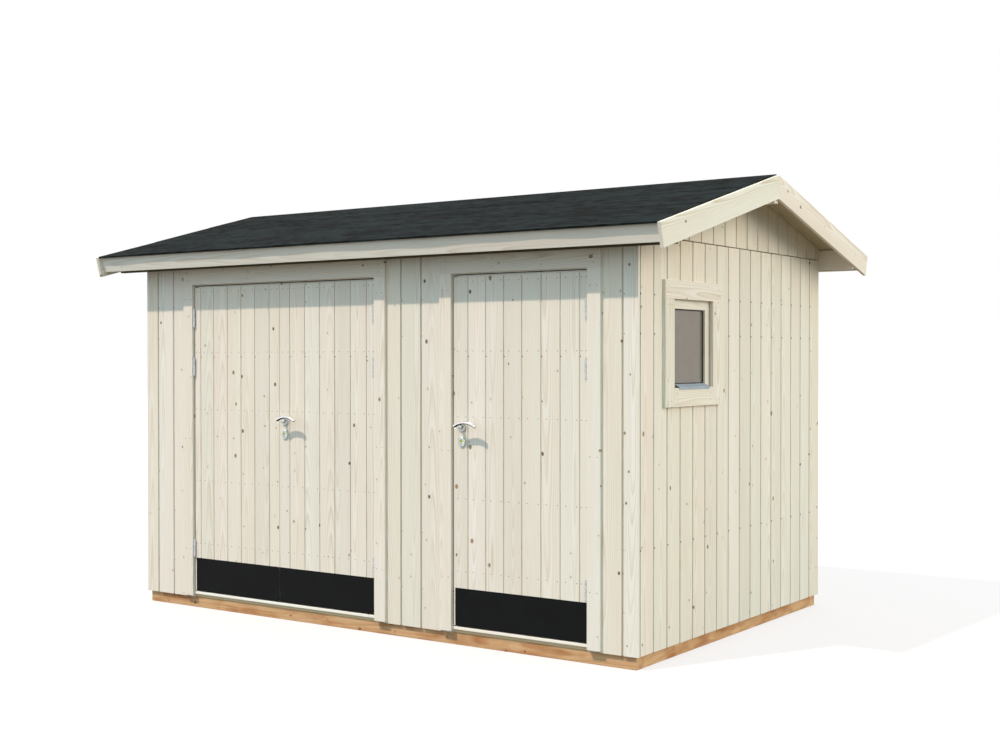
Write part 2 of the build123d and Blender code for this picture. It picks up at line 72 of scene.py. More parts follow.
# one node with its settings; an input given a socket is linked, any other value is set on the socket
def addNode(kind, inputs=None, stops=(), **settings):
    node = trees[-1].nodes.new("ShaderNode" + kind)
    for name, value in settings.items():
        setattr(node, name, value)
    for name, value in (inputs or {}).items():
        if isinstance(value, bpy.types.NodeSocket):
            trees[-1].links.new(value, node.inputs[name])
        else:
            node.inputs[name].default_value = value
    for i, (place, colour) in enumerate(stops):
        stop = node.color_ramp.elements[i] if i < 2 else node.color_ramp.elements.new(place)
        stop.position, stop.color = place, colour
    return node


# short forms of addNode that give the result's socket: arithmetic on numbers
def maths(operation, *values):
    return addNode("Math", dict(enumerate(values)), operation=operation).outputs[0]


# arithmetic on vectors; a length comes back as a number
def vectorMaths(operation, *values):
    node = addNode("VectorMath", dict(enumerate(values)), operation=operation)
    return node.outputs["Value" if operation == "LENGTH" else "Vector"]


# a value carried from the span low to high into the span toLow to toHigh, straight or eased
def remap(value, low=0, high=1, toLow=0, toHigh=1, ease="LINEAR"):
    return addNode("MapRange", {0: value, 1: low, 2: high, 3: toLow, 4: toHigh},
                   interpolation_type=ease).outputs[0]


# colour = first + share (second - first), or first times second
def blend(share, first, second, kind="MIX"):
    return addNode("Mix", {0: share, 6: first, 7: second}, data_type="RGBA",
                   blend_type=kind).outputs[2]


# a colour read off a line of (place, colour) stops
def ramp(value, stops):
    return addNode("ValToRGB", {0: value}, stops).outputs[0]


def grey(level):  # the same level in red, green and blue
    return (level, level, level, 1)


# noise with so many waves per metre along x, y and z
def noise(place, waves, detail=2, roughness=0.5, shift=(0, 0, 0), part=0):
    at = addNode("Mapping", {"Vector": place, "Scale": waves, "Location": shift}).outputs[0]
    return addNode("TexNoise", {"Vector": at, "Scale": 1, "Detail": detail,
                   "Roughness": roughness}).outputs[part]


# a tilt of the surface from a height times a distance
def bumped(height, strength, distance):
    return addNode("Bump", {"Height": height, "Strength": strength, "Distance": distance}).outputs[0]


def newMaterial(name):  # an empty node tree
    material = bpy.data.materials.new(name)
    material.use_nodes = True
    material.node_tree.nodes.clear()
    trees.append(material.node_tree)
    return material


def surface(inputs):  # one principled shader joined to the output
    shader = addNode("BsdfPrincipled", inputs)
    addNode("OutputMaterial", {"Surface": shader.outputs[0]})


def objectPlace():  # the place on the object itself, in metres
    return addNode("TexCoord").outputs["Object"]


# shared by all timbers: waves per metre across, deep and along the grain; knot sizes in shares of their cell;
# ringShape is the depth of late wood over one ring
grainLook = dict(
    swayWaves=(3, 3, 0.9), patchWaves=(11, 11, 0.8), fibreWaves=(250, 250, 4), bandWaves=(16, 16),
    bandShift=(4, 1, 7), patchSpan=(0.3, 0.7), bandSpan=(0.45, 0.75), fibreSpan=(0.3, 0.65),
    knotCell=(120 * mm, 160 * mm), knotScatter=0.9, knotSmall=0.025, knotLarge=0.09, smallPower=3, knotCore=0.7,
    halo=(0.01, 0.14), haloTint=0.22, coreTint=0.9, ringPush=2.5,
    ringShape=((0, 0), (0.4, 0.12), (0.84, 1), (1, 0)), ringRelief=0.5, relief=0.5 * mm, lateGloss=0.12, ior=1.5,
    gloss=0.35)


# Growth rings are distances from a wandering pith line, divided by the ring gap; the part after the point gives early
# and late wood. Cells of a stretched Voronoi pattern carry the knots, and the rings are pushed aside round them.
def timberMaterial(name, look):
    material = newMaterial(name)
    look = {**grainLook, **look}
    early, late = toLinear(look["early"]), toLinear(look["late"])
    grain = addNode("Attribute", attribute_name="grain").outputs["Vector"]
    tint = addNode("Attribute", attribute_name="tint").outputs["Fac"]
    sway = noise(grain, look["swayWaves"], part="Color")
    bent = vectorMaths("ADD", grain, vectorMaths("MULTIPLY_ADD", sway, (look["sway"], look["sway"], 0),
                                                       (-look["sway"] / 2, -look["sway"] / 2, 0)))

    parts = addNode("SeparateXYZ", {0: grain}).outputs
    face = addNode("CombineXYZ", {0: parts[0], 1: parts[2]}).outputs[0]
    cellWide, cellLong = look["knotCell"]
    knotAt = addNode("Mapping", {"Vector": face, "Scale": (1 / cellWide, 1 / cellLong, 1)})
    cell = addNode("TexVoronoi", {"Vector": knotAt.outputs[0], "Scale": 1,
                   "Randomness": look["knotScatter"]}, voronoi_dimensions="2D").outputs
    luck = addNode("SeparateColor", {0: cell["Color"]}).outputs
    kept = maths("GREATER_THAN", luck[0], 1 - look["knots"])
    knotSize = remap(maths("POWER", luck[1], look["smallPower"]), toLow=look["knotSmall"],
                     toHigh=look["knotLarge"])
    coreEdge = maths("MULTIPLY", knotSize, look["knotCore"])
    core = maths("MULTIPLY", remap(cell["Distance"], coreEdge, knotSize, 1, 0, "SMOOTHSTEP"), kept)
    halo = maths("MULTIPLY", remap(cell["Distance"], *look["halo"], 1, 0, "SMOOTHSTEP"), kept)

    radius = vectorMaths("LENGTH", vectorMaths("MULTIPLY", bent, (1, 1, 0)))
    pushed = maths("MULTIPLY", halo, look["ringPush"])
    phase = maths("MULTIPLY_ADD", radius, 1 / look["ringGap"], pushed)
    ring = ramp(maths("FRACT", phase), [(at, grey(level)) for at, level in look["ringShape"]])
    patch = noise(grain, look["patchWaves"], 3)
    ringBy = maths("MULTIPLY", ring, remap(patch, *look["patchSpan"], look["ringLow"], look["ringHigh"]))
    fibre = noise(grain, look["fibreWaves"])
    band = noise(grain, (*look["bandWaves"], look["bandRun"]), shift=look["bandShift"])

    wood = blend(ringBy, early, late)
    wood = blend(remap(band, *look["bandSpan"], 0, look["bands"]), wood, toLinear(look["band"]))
    toneStops = [(i / (len(look["tones"]) - 1), toLinear(tone)) for i, tone in enumerate(look["tones"])]
    wood = blend(1, wood, ramp(tint, toneStops), "MULTIPLY")
    fibreStops = zip(look["fibreSpan"], (grey(look["fibre"]), grey(1)))
    wood = blend(1, wood, ramp(fibre, fibreStops), "MULTIPLY")
    wood = blend(maths("MULTIPLY", halo, look["haloTint"]), wood, late)
    knotTone = blend(luck[2], toLinear(look["knot"]), toLinear(look["knotDark"]))
    wood = blend(maths("MULTIPLY", core, look["coreTint"]), wood, knotTone)

    relief = maths("MULTIPLY_ADD", ringBy, look["ringRelief"], fibre)
    rough = remap(ringBy, toLow=look["rough"], toHigh=look["rough"] - look["lateGloss"])
    surface({"Base Color": wood, "Roughness": rough, "Normal": bumped(relief, look["bump"], look["relief"]),
            "IOR": look["ior"], "Specular IOR Level": look["gloss"]})
    return material


# Planed, untreated spruce: pale cream, soft loops of late wood, some peach bands, few brown knots, matt.
# The rings are 5 mm apart, about twice the real gap, so that they show.
spruceLook = dict(
    early="#EDE9DF", late="#CEBFA8", band="#EADECF", knot="#A07C50", knotDark="#4E3824",
    tones=("#FFFEFB", "#F7F7F1", "#FFF9F5", "#FAF7EF", "#FFFCFA", "#F4F2EC"), ringGap=5 * mm, sway=0.03,
    ringLow=0.14, ringHigh=0.7, bands=0.6, fibre=0.95, knots=0.31, bump=0.25, rough=0.66, bandRun=0.45)
# The same wood in broad trim boards: flat sawn, so the loops of late wood are stronger and yellower.
trimLook = dict(
    spruceLook, late="#CCBA9C", band="#ECE1D3", ringLow=0.3, ringHigh=1.0, ringGap=7 * mm, sway=0.05, knots=0.35)
# Unplaned boards under the felt: greyer brown, duller, and darker than planed wood as painted shade for the shaded
# soffit.
roughPaintedShadeLook = dict(spruceLook, early="#CDC2A6", late="#A69270", band="#C0AE8D", bump=0.5, rough=0.8)
# Front eave plate: sawn grey brown wood, made dark as painted shade for the deep shade under the eaves.
paintedShadePlateLook = dict(roughPaintedShadeLook, early="#5A553E", late="#46412E", band="#524C37", knots=0.3)
# Thresholds: fresh planed wood, made nearly white as a painted highlight for the sunlit top.
paintedHighlightThresholdLook = dict(spruceLook, early="#FAF8F1", late="#E6DFD0", band="#F5EFE4", knots=0)
# Blocks under the thresholds: sawn wood gone straw yellow, in shade.
blockLook = dict(paintedHighlightThresholdLook, early="#F0DDB8", late="#D8C096", band="#E8CDA2", rough=0.8)
# Sawn softwood soaked in brown preservative: orange brown, coarse fibre, dull.
impregnatedLook = dict(
    early="#E2BE94", late="#B48351", band="#B0723C", knot="#9A5A30", knotDark="#5E3219",
    tones=("#FFFFFF", "#F8EDE0", "#FFF6EC", "#F3E8DC"), ringGap=9 * mm, sway=0.05, ringLow=0.2, ringHigh=0.7,
    bands=1.0, bandRun=5, fibre=0.8, knots=0.8, bump=0.6, rough=0.8)
planedSpruce = timberMaterial("planedSpruce", spruceLook)
trimSpruce = timberMaterial("trimSpruce", trimLook)
roughPaintedShadeSpruce = timberMaterial("roughPaintedShadeSpruce", roughPaintedShadeLook)
paintedShadeSpruce = timberMaterial("paintedShadeSpruce", paintedShadePlateLook)
paintedHighlightSpruce = timberMaterial("paintedHighlightSpruce", paintedHighlightThresholdLook)
strawSpruce = timberMaterial("strawSpruce", blockLook)
impregnatedTimber = timberMaterial("impregnatedTimber", impregnatedLook)

# Bitumen felt with fine slate grit pressed in: near black, grey grains, faint streaks along the roll.
# The grains are 6 mm, real ones are about 1 mm, so that they show.
feltLook = dict(
    dark="#010303", mid="#1D2526", pale="#384040", grain=6 * mm, gritSpan=(0.55, 0.75), gritTint=0.3,
    cloudWaves=(2.2, 8, 8), cloudShare=0.4, streakWaves=(11, 28, 28), toneSpan=(0.58, 0.82), coarse=0.7, bump=0.5,
    relief=1 * mm, rough=0.95, gloss=0.08)
mineralFelt = newMaterial("mineralFelt")
place = objectPlace()
grit = noise(place, (1 / feltLook["grain"],) * 3, 3, feltLook["coarse"])
cloud = noise(place, feltLook["cloudWaves"], 3)
streak = noise(place, feltLook["streakWaves"], 4, feltLook["coarse"])
tone = maths("MULTIPLY_ADD", cloud, feltLook["cloudShare"], streak)
felt = blend(remap(tone, *feltLook["toneSpan"]), toLinear(feltLook["dark"]), toLinear(feltLook["mid"]))
gritBy = remap(grit, *feltLook["gritSpan"], 0, feltLook["gritTint"])
felt = blend(gritBy, felt, toLinear(feltLook["pale"]))
surface({"Base Color": felt, "Roughness": feltLook["rough"], "Specular IOR Level": feltLook["gloss"],
        "Normal": bumped(grit, feltLook["bump"], feltLook["relief"])})

metalBase = dict(
    spread=0.06, bump=0.08, metallic=1, gloss=0.5, toneSpan=(0.12, 0.4), roughSpan=(0.1, 0.45), relief=0.2 * mm)


# Metals share one build: a slow blotch (in metres) times a fine rub (waves per metre) shifts colour and roughness.
def metalMaterial(name, slotName, **look):
    material = newMaterial(name)
    look = {**metalBase, **look}
    place = objectPlace()
    rub = noise(place, look["rub"])
    both = maths("MULTIPLY", rub, noise(place, (1 / look["blot"],) * 3, 3))
    tone = ramp(both, zip(look["toneSpan"], (toLinear(look["low"]), toLinear(look["high"]))))
    rough = remap(both, *look["roughSpan"], look["rough"] - look["spread"], look["rough"] + look["spread"])
    surface({"Base Color": tone, "Metallic": look["metallic"], "Roughness": rough,
            "Normal": bumped(rub, look["bump"], look["relief"]), "Specular IOR Level": look["gloss"]})
    return material


# Matt black powder paint on steel sheet: even, with faint dusty clouds.
blackSheet = metalMaterial("blackPaintedSheet", "black_sheet_metal",
    low="#0D0E0F", high="#131516", blot=0.09, rub=(500,) * 3, rough=0.55, metallic=0, gloss=0.08)
# Bright zinc on steel: pale silver with slow cloudy patches and fine drawing lines up the barrel.
brightZinc = metalMaterial("brightZinc", "zinc_plated_steel",
    low="#AEB5BA", high="#CDD2D5", blot=0.012, rub=(900, 900, 40), rough=0.3, spread=0.08, bump=0.1)
# Bright chrome on cast zinc: white mirror, a little blurred, brushed along the grip.
brightChrome = metalMaterial("brightChrome", "chrome_plated_metal",
    low="#EDEFEF", high="#F7F8F8", blot=0.02, rub=(60, 900, 900), rough=0.16, spread=0.05, bump=0.06)
# Satin chrome on pressed steel: grey, softly blurred; the lock cover is polished a step paler.
satinChrome = metalMaterial("satinChrome", "chrome_plated_metal",
    low="#A3ACAA", high="#BCC5C3", blot=0.02, rub=(900,) * 3, rough=0.3, spread=0.08, bump=0.06)
paleChrome = metalMaterial("paleChrome", "chrome_plated_metal",
    low="#BCC8C6", high="#D2DCDA", blot=0.02, rub=(900,) * 3, rough=0.24, bump=0.06)
# Brass lock cylinder, turned: yellow metal, a little dull.
turnedBrass = metalMaterial("turnedBrass", "chrome_plated_metal",
    low="#9C9A28", high="#C4C03E", blot=0.01, rub=(700,) * 3, rough=0.32)
# Blue-grey coil coating on thin sheet: satin, slightly dusty.
coatedSheet = metalMaterial("coatedGreySheet", "grey_sheet_metal",
    low="#8D98A2", high="#A3ADB5", blot=0.05, rub=(300,) * 3, rough=0.45, metallic=0)
# Black rubber for the pane strip and key slot: dull, with a bloom of grey dust. Also painted shade: the grip's black
# sole and the ring round the lever neck.
blackRubberAndPaintedShade = metalMaterial("blackRubberAndPaintedShade", "black_sheet_metal",
    low="#141515", high="#222323", blot=0.02, rub=(400,) * 3, rough=0.75, spread=0.08, bump=0.1,
    metallic=0)
# Steel nails gone dull: grey brown heads, darker than dull steel as painted shade where they sit by the grooves.
dullNailAndPaintedShade = metalMaterial("dullNailAndPaintedShade", "zinc_plated_steel",
    low="#30271F", high="#4D4238", blot=0.003, rub=(900,) * 3, rough=0.6, spread=0.08, bump=0.1,
    metallic=0)

# Float glass: a grey brown diffuse layer is painted shade for the dim room behind it; half the light passes through,
# so it is still clear enough to see through.
glassLook = dict(
    paintedDim="#9A8E80", paintedDimPale="#A99D90", patch=80 * mm, rough=(0.02, 0.1), through=0.5, ior=1.52)
paneGlass = newMaterial("floatGlass")
paintedDim = noise(objectPlace(), (1 / glassLook["patch"],) * 3, 4)
paintedDimTone = blend(paintedDim, toLinear(glassLook["paintedDim"]), toLinear(glassLook["paintedDimPale"]))
surface({"Base Color": paintedDimTone, "IOR": glassLook["ior"], "Transmission Weight": glassLook["through"],
        "Roughness": remap(paintedDim, 0, 1, *glassLook["rough"])})
print("materials ready")


# k grids of m rows by n points to one set of quads; point (i, j) has number i n + j, and caps close the end rows
def shell(points, closedAcross=True, closedAlong=False, capped=False):
    k, m, n = points.shape[:3]
    i, j = np.meshgrid(np.arange(m if closedAlong else m - 1), np.arange(n if closedAcross else n - 1), indexing="ij")
    nextRow, nextPoint = (i + 1) % m, (j + 1) % n
    quads = np.stack([i * n + j, i * n + nextPoint, nextRow * n + nextPoint, nextRow * n + j], -1).reshape(-1, 4)
    offset = (np.arange(k) * m * n)[:, None, None]
    faces = [(quads + offset).reshape(-1, 4)]
    if capped:
        ends = np.stack([np.arange(n)[::-1], np.arange(n) + (m - 1) * n])
        faces.append((ends + offset).reshape(-1, n))
    return points.reshape(-1, 3), faces


# several shells as one: each shell's point numbers are raised by the count of points before it
def join(*shells):
    starts = np.cumsum([0] + [len(points) for points, faces in shells])
    return (np.concatenate([points for points, faces in shells]),
            [block + start for (points, faces), start in zip(shells, starts) for block in faces])


def placed(name, data):  # an object at the origin with these data
    thing = bpy.data.objects.new(name, data)
    bpy.context.scene.collection.objects.link(thing)
    return thing


# puts a shell into a mesh: doubled points are merged, faces turned outwards, and the piece joined to its body
def putPiece(name, shape, look, body="shed", replaced=(), smoothAngle=None, layers=None):
    points, faces = shape
    mesh = bpy.data.meshes.new(name)
    mesh.from_pydata(points.tolist(), [], [face for block in faces for face in block.tolist()])
    for key, values in (layers or {}).items():
        layer = mesh.attributes.new(key, "FLOAT_VECTOR" if values.ndim > 1 else "FLOAT", "POINT")
        layer.data.foreach_set("vector" if values.ndim > 1 else "value", values.astype(np.float32).ravel())
    work = bmesh.new()
    work.from_mesh(mesh)
    bmesh.ops.remove_doubles(work, verts=work.verts, dist=1e-6)
    bmesh.ops.recalc_face_normals(work, faces=work.faces)
    work.to_mesh(mesh)
    work.free()
    if smoothAngle:
        mesh.polygons.foreach_set("use_smooth", np.ones(len(mesh.polygons), bool))
        mesh.set_sharp_from_angle(angle=radians(smoothAngle))
    mesh.materials.append(look)
    piece = placed(name, mesh)
    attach(piece, body)
    if replaced:
        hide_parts(*replaced)


# each board draws its own pith, lean, place in the log and tone from its number, so two parts of one board agree
def boardLuck(*number):
    draw = np.random.default_rng([seed, *number]).random(6)
    return np.array([0.01 + 0.1 * draw[0], -0.01 - 0.07 * draw[1], 0.03 * (draw[2] - 0.5), 0.05 * (draw[3] - 0.5),
                     40 * draw[4], draw[5]])


# one timber: start corner, unit vectors, (length, width, thickness), the corners' cuts in mm (back left, back right,
# front right, front left, or one for all), and the slopes of the end cuts
def timber(start, along, across, deep, size, luck, corners=1.2, bulge=1.0, cuts=(0,) * 4, slide=(0, 0), soft=0.5):
    return {"start": start, "along": along, "across": across, "deep": deep, "size": size, "luck": luck,
            "corners": np.ones(4) * corners, "bulge": bulge, "cuts": cuts, "slide": slide, "soft": soft}


# A section carried along: point = start + a across + d deep + l along. The section is a rectangle with corners cut
# back by c; the middle of a cut lies at c / 2 if flat and 0.29 c if round. The end rows are drawn in.
def timberShell(timbers):
    t = {key: np.array([row[key] for row in timbers], float) for key in timbers[0]}
    length, width, thick = t["size"].T[:, :, None]
    atA, atD = np.array([[0, 1, 1, 0], [0, 0, 1, 1]])
    middle = (0.5 - 0.2071 * t["bulge"])[:, None, None] * np.ones((1, 4, 1))
    one, firstOnSide = np.ones_like(middle), np.array([1, 0, 1, 0])[None, :, None]
    u = np.concatenate([one - firstOnSide, middle, one * firstOnSide], 2)
    v = np.concatenate([one * firstOnSide, middle, one - firstOnSide], 2)
    cut = t["corners"][:, :, None] * mm
    a = (atA[None, :, None] * width[:, :, None] + (1 - 2 * atA)[None, :, None] * cut * u).reshape(len(timbers), -1)
    d = (atD[None, :, None] * thick[:, :, None] + (1 - 2 * atD)[None, :, None] * cut * v).reshape(len(timbers), -1)
    soft = t["soft"][:, None] * mm
    drawn = np.stack([soft, 0 * soft, 0 * soft, soft], 1)
    a = width[:, None] / 2 + (a - width / 2)[:, None] * (1 - 2 * drawn / width[:, None])
    d = thick[:, None] / 2 + (d - thick / 2)[:, None] * (1 - 2 * drawn / thick[:, None])
    flat = np.stack([0 * soft, soft, length - soft, length], 1)
    s = t["cuts"][:, None, None]
    isEnd = np.array([0, 0, 1, 1])[None, :, None]
    l = flat + (1 - isEnd) * (s[..., 0] * a + s[..., 1] * d) + isEnd * (s[..., 2] * a + s[..., 3] * d)
    points = (t["start"][:, None, None] + a[..., None] * t["across"][:, None, None]
              + d[..., None] * t["deep"][:, None, None] + l[..., None] * t["along"][:, None, None])
    pithA, pithD, leanA, leanD, logPlace, tone = t["luck"].T[:, :, None, None]
    boardA, boardL = a + t["slide"][:, 0][:, None, None], l + t["slide"][:, 1][:, None, None]
    grain = np.stack([boardA - pithA - leanA * boardL, d - pithD - leanD * boardL, boardL + logPlace], -1)
    tint = np.broadcast_to(tone, a.shape)
    return shell(points, capped=True), {"grain": grain.reshape(-1, 3), "tint": tint.ravel()}


def timberPiece(name, timbers, replaced=(), look=planedSpruce, body="shed"):  # timbers as one piece
    shape, layers = timberShell(timbers)
    putPiece(name, shape, look, body, replaced, layers=layers)


# boxes of a node's solids: points that share a triangle take the lowest number among them until none changes
def solidBoxes(nodeName):
    mesh = nodes[nodeName].data
    mesh.calc_loop_triangles()
    place, corner = np.empty(len(mesh.vertices) * 3), np.empty(len(mesh.loop_triangles) * 3, int)
    mesh.vertices.foreach_get("co", place)
    mesh.loop_triangles.foreach_get("vertices", corner)
    place = place.reshape(-1, 3)
    same = np.unique(np.round(place, 5), axis=0, return_inverse=True)[1].ravel()
    corner = same[corner].reshape(-1, 3)
    label, before = np.arange(same.max() + 1), None
    while before is None or (label != before).any():
        before = label.copy()
        np.minimum.at(label, corner.ravel(), np.repeat(before[corner].min(1), 3))
    owner = label[same]
    return [(place[owner == k].min(0), place[owner == k].max(0)) for k in np.unique(owner)]


# a box as one timber: its longest side is the length, the next its width, unless the axis of its depth is given
def boxTimber(low, high, number, corners=1.2, soft=0.5, deepAxis=None):
    low = np.array(low, float)
    size = high - low
    order = np.argsort(-size, kind="stable")
    if deepAxis is not None:
        order = np.append(order[order != deepAxis], deepAxis)
    along, across, deep = np.eye(3)[order]
    return timber(low, along, across, deep, size[order], boardLuck(*number), corners, soft=soft)


def boxTimbers(boxes, number, corners=1.2, soft=0.5):  # box i has the luck of (number, i)
    return [boxTimber(low, high, (number, i), corners, soft) for i, (low, high) in enumerate(boxes)]


def spanBoxes(spans, y, z):  # a box for each span along x, all with the same limits in y and z, given in mm
    return [np.array([[a, y[0], z[0]], [b, y[1], z[1]]]) * mm for a, b in spans]


# all boards: grooves within the margin of an edge fall away; arris is the cut of plain edges, in mm; the tongue lies
# behind its joint and laps under both boards
boardLook = dict(
    margin=8 * mm, touch=0.02 * mm, arris=0.3, bulge=0.25, tongueLap=1.5, tongueBack=2 * mm, tongueSlide=0.1,
    firstWidth=0.135)


def innerGrooves(grooves, low, high):  # grooves that keep the margin from both edges
    return grooves[(grooves > low + boardLook["margin"]) & (grooves < high - boardLook["margin"])]


# upright boards over a box, cut at the grooves: a joint is a V over a slot with a tongue behind it, a board that a
# doorway cuts keeps one luck, and the outer edges may grow by a little and take their own cut
def boarding(low, high, across, outward, grooves, number, joint, grow=(0, 0), edgeCut=boardLook["arris"], soft=0.3):
    edges = np.concatenate([[low[across] - grow[0] * mm], innerGrooves(grooves, low[across], high[across]),
                            [high[across] + grow[1] * mm]])
    deepAxis, arris = int(np.argmax(np.abs(outward))), boardLook["arris"]
    thick, height, sideways = high[deepAxis] - low[deepAxis], high[2] - low[2], np.eye(3)[across]
    start = np.array([0, 0, low[2]], float)
    start[deepAxis] = low[deepAxis] if outward[deepAxis] > 0 else high[deepAxis]
    boards = []
    for k, (left, right) in enumerate(zip(edges[:-1], edges[1:])):
        board = int(np.searchsorted(grooves, (left + right) / 2))
        origin = grooves[board - 1] if board else grooves[0] - boardLook["firstWidth"]
        isOuter = k == 0, k == len(edges) - 2
        gapLeft, gapRight = [boardLook["touch"] if outer else joint["slot"] * mm / 2 for outer in isOuter]
        cutLeft, cutRight = [edgeCut if outer else joint["cut"] for outer in isOuter]
        luck = boardLuck(number, board)
        boards.append(timber(
            start + sideways * (left + gapLeft), up, sideways, outward,
            (height, right - left - gapLeft - gapRight, thick), luck, (arris, arris, cutRight, cutLeft),
            boardLook["bulge"], slide=(left - origin, low[2]), soft=soft))
        if not isOuter[1]:
            half = joint["slot"] / 2 + boardLook["tongueLap"]
            boards.append(timber(
                start + sideways * (right - half * mm) + outward * boardLook["tongueBack"], up, sideways, outward,
                (height, 2 * half * mm, joint["tongue"] * mm), luck, arris, slide=(boardLook["tongueSlide"], low[2])))
    return boards


# a turned shape for k centres: (r, h) pairs carried round, point = centre + r (cos t u + sin t v) + h w
def turned(centres, u, v, w, profile, count):
    r, h = np.array(profile, float).T[:, :, None]
    t = np.linspace(0, 2 * pi, count, endpoint=False)
    one = r[..., None] * (np.cos(t)[:, None] * u + np.sin(t)[:, None] * v) + (h + 0 * t)[..., None] * w
    return shell(np.atleast_2d(centres)[:, None, None] + one)


# a turned fitting that stands out of the front, its profile in mm; the stretches make it wider or higher
def fitting(centre, profile, count, wide=1, high=1):
    return turned(np.array(centre) * mm, east * wide, up * high, -north, np.array(profile) * mm, count)


# walls of V-jointed boards; drop: the side walls stop a little short, so that a dark line shows under each gable
wall = dict(
    halfX=1.7, halfY=1.093, clad=16 * mm, frontGroove=-1602.8 * mm, frontPitch=134.1 * mm, sideGroove=-1077.4 * mm,
    sidePitch=135.4 * mm, joint=dict(cut=1.6, slot=10.0, tongue=3.0),
    sideJoint=dict(cut=1.5, slot=11.0, tongue=5.0), cornerSlot=9.0, drop=1.5 * mm, fullHeight=2.05, sideSoft=1)
frontGrooves = wall["frontGroove"] + wall["frontPitch"] * np.arange(-1, 27)
sideGrooves = wall["sideGroove"] + wall["sidePitch"] * np.arange(0, 18)
frontNodes = ("front_wall_left", "front_wall_middle", "front_wall_right", "front_wall_over_doors")
rightNodes = ("right_wall_front", "right_wall_back", "right_wall_by_window")


# boards of a side wall; one that reaches the wall top is dropped, and the front one leaves a slot at the corner
def sideBoarding(nodeName, outward, number):
    boards, grow = [], (-wall["cornerSlot"] * (nodeName == rightNodes[0]), 0)
    for low, high in solidBoxes(nodeName):
        high = high - up * wall["drop"] * (high[2] > wall["fullHeight"])
        boards += boarding(low, high, 1, outward, sideGrooves, number, wall["sideJoint"], grow, soft=wall["sideSoft"])
    return boards


timberPiece("frontWallBoards", [b for n in frontNodes for low, high in solidBoxes(n)
            for b in boarding(low, high, 0, -north, frontGrooves, 1, wall["joint"])], frontNodes)
timberPiece("rightWallBoards", [b for n in rightNodes for b in sideBoarding(n, east, 2)], rightNodes)
timberPiece("leftWallBoards", sideBoarding("left_wall", -east, 3), ("left_wall",))
timberPiece("backWallBoards", boarding(*solidBoxes("back_wall")[0], 0, north, frontGrooves, 4, wall["joint"]),
            ("back_wall",))

# the roof section: s runs down the slope from the ridge, n stands square to it, side is -1 in front and 1 behind
roof = dict(
    pitch=radians(15), ridge=cadBox[1][2], felt=4 * mm, board=16 * mm, boards=34, boardCut=3, boardGap=0.2 * mm,
    fasciaBack=1298.69 * mm, fasciaWidth=96 * mm, fasciaThick=18 * mm, fasciaGap=0.1 * mm, bargeLine=1340.69 * mm,
    bargeWidth=120 * mm, bargeThick=18 * mm, bargeInner=1909 * mm, feltEdge=1332.69 * mm, edgeCut=1.5,
    beamHalf=22.5 * mm, beamCut=2)
slope, inner = tan(roof["pitch"]), roof["bargeInner"]


def downSlope(side):  # unit vector down the slope
    return np.array([0, side * cos(roof["pitch"]), -sin(roof["pitch"])])


def offSlope(side):  # unit vector square to the slope, outwards
    return np.array([0, side * sin(roof["pitch"]), cos(roof["pitch"])])


def slopePoint(side, x, s, n):  # ridge point at x, plus s down and n off the slope
    return np.array([x, 0, roof["ridge"]]) + s * downSlope(side) + n * offSlope(side)


def roofUnderside(y):  # ridge height less the upright depth of felt and boards, less the fall from the ridge to y
    return roof["ridge"] - (roof["felt"] + roof["board"]) / cos(roof["pitch"]) - abs(y) * slope


# gable boards: upright, tops cut to the roof's slope, notched round the ridge beam
gable = dict(groove=-1119 * mm, lift=3 * mm, tongueWide=14 * mm, tongueDeep=5 * mm, tongueShort=3 * mm)
beamHalf, beamUnder = roof["beamHalf"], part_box("ridge_beam")[0][2]
gableLow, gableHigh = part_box("gables")
gableGrooves = gable["groove"] + wall["sidePitch"] * np.arange(0, 18)
gableInside = innerGrooves(gableGrooves, gableLow[1], gableHigh[1])
gableEdges = np.unique(np.concatenate([[gableLow[1], gableHigh[1], -beamHalf, beamHalf], gableInside]))
gableTimbers, gableFoot, joint, arris = [], gableLow[2] + gable["lift"], wall["sideJoint"], boardLook["arris"]
for number, outward, innerX in ((5, east, gableHigh[0] - wall["clad"]), (6, -east, gableLow[0] + wall["clad"])):
    for left, right in zip(gableEdges[:-1], gableEdges[1:]):
        board = int(np.searchsorted(gableGrooves, (left + right) / 2))
        jointed = [np.abs(gableInside - edge).min() < 1e-6 for edge in (left, right)]
        cutLeft, cutRight = [joint["cut"] if here else arris for here in jointed]
        gapLeft, gapRight = [joint["slot"] / 2 * mm * here for here in jointed]
        notched = abs(left + right) / 2 < beamHalf
        rise = 0 if notched else -slope * np.sign(left + right)
        top = (beamUnder if notched else roofUnderside(left)) + rise * gapLeft
        luck = boardLuck(number, board)
        gableTimbers.append(timber((innerX, left + gapLeft, gableFoot), up, north, outward,
                            (top - gableFoot, right - left - gapLeft - gapRight, wall["clad"]), luck,
                            (arris, arris, cutRight, cutLeft), boardLook["bulge"], (0, 0, rise, 0),
                            (left - gableGrooves[board - 1], gableFoot), wall["sideSoft"]))
        if jointed[1]:
            start = np.array([innerX, right - gable["tongueWide"] / 2, gableFoot]) + outward * boardLook["tongueBack"]
            tongueHigh = roofUnderside(right) - gable["tongueShort"] - gableFoot
            size = tongueHigh, gable["tongueWide"], gable["tongueDeep"]
            gableTimbers.append(timber(start, up, north, outward, size, luck, arris))
timberPiece("gableBoards", gableTimbers, ("gables",))
print("walls boarded")

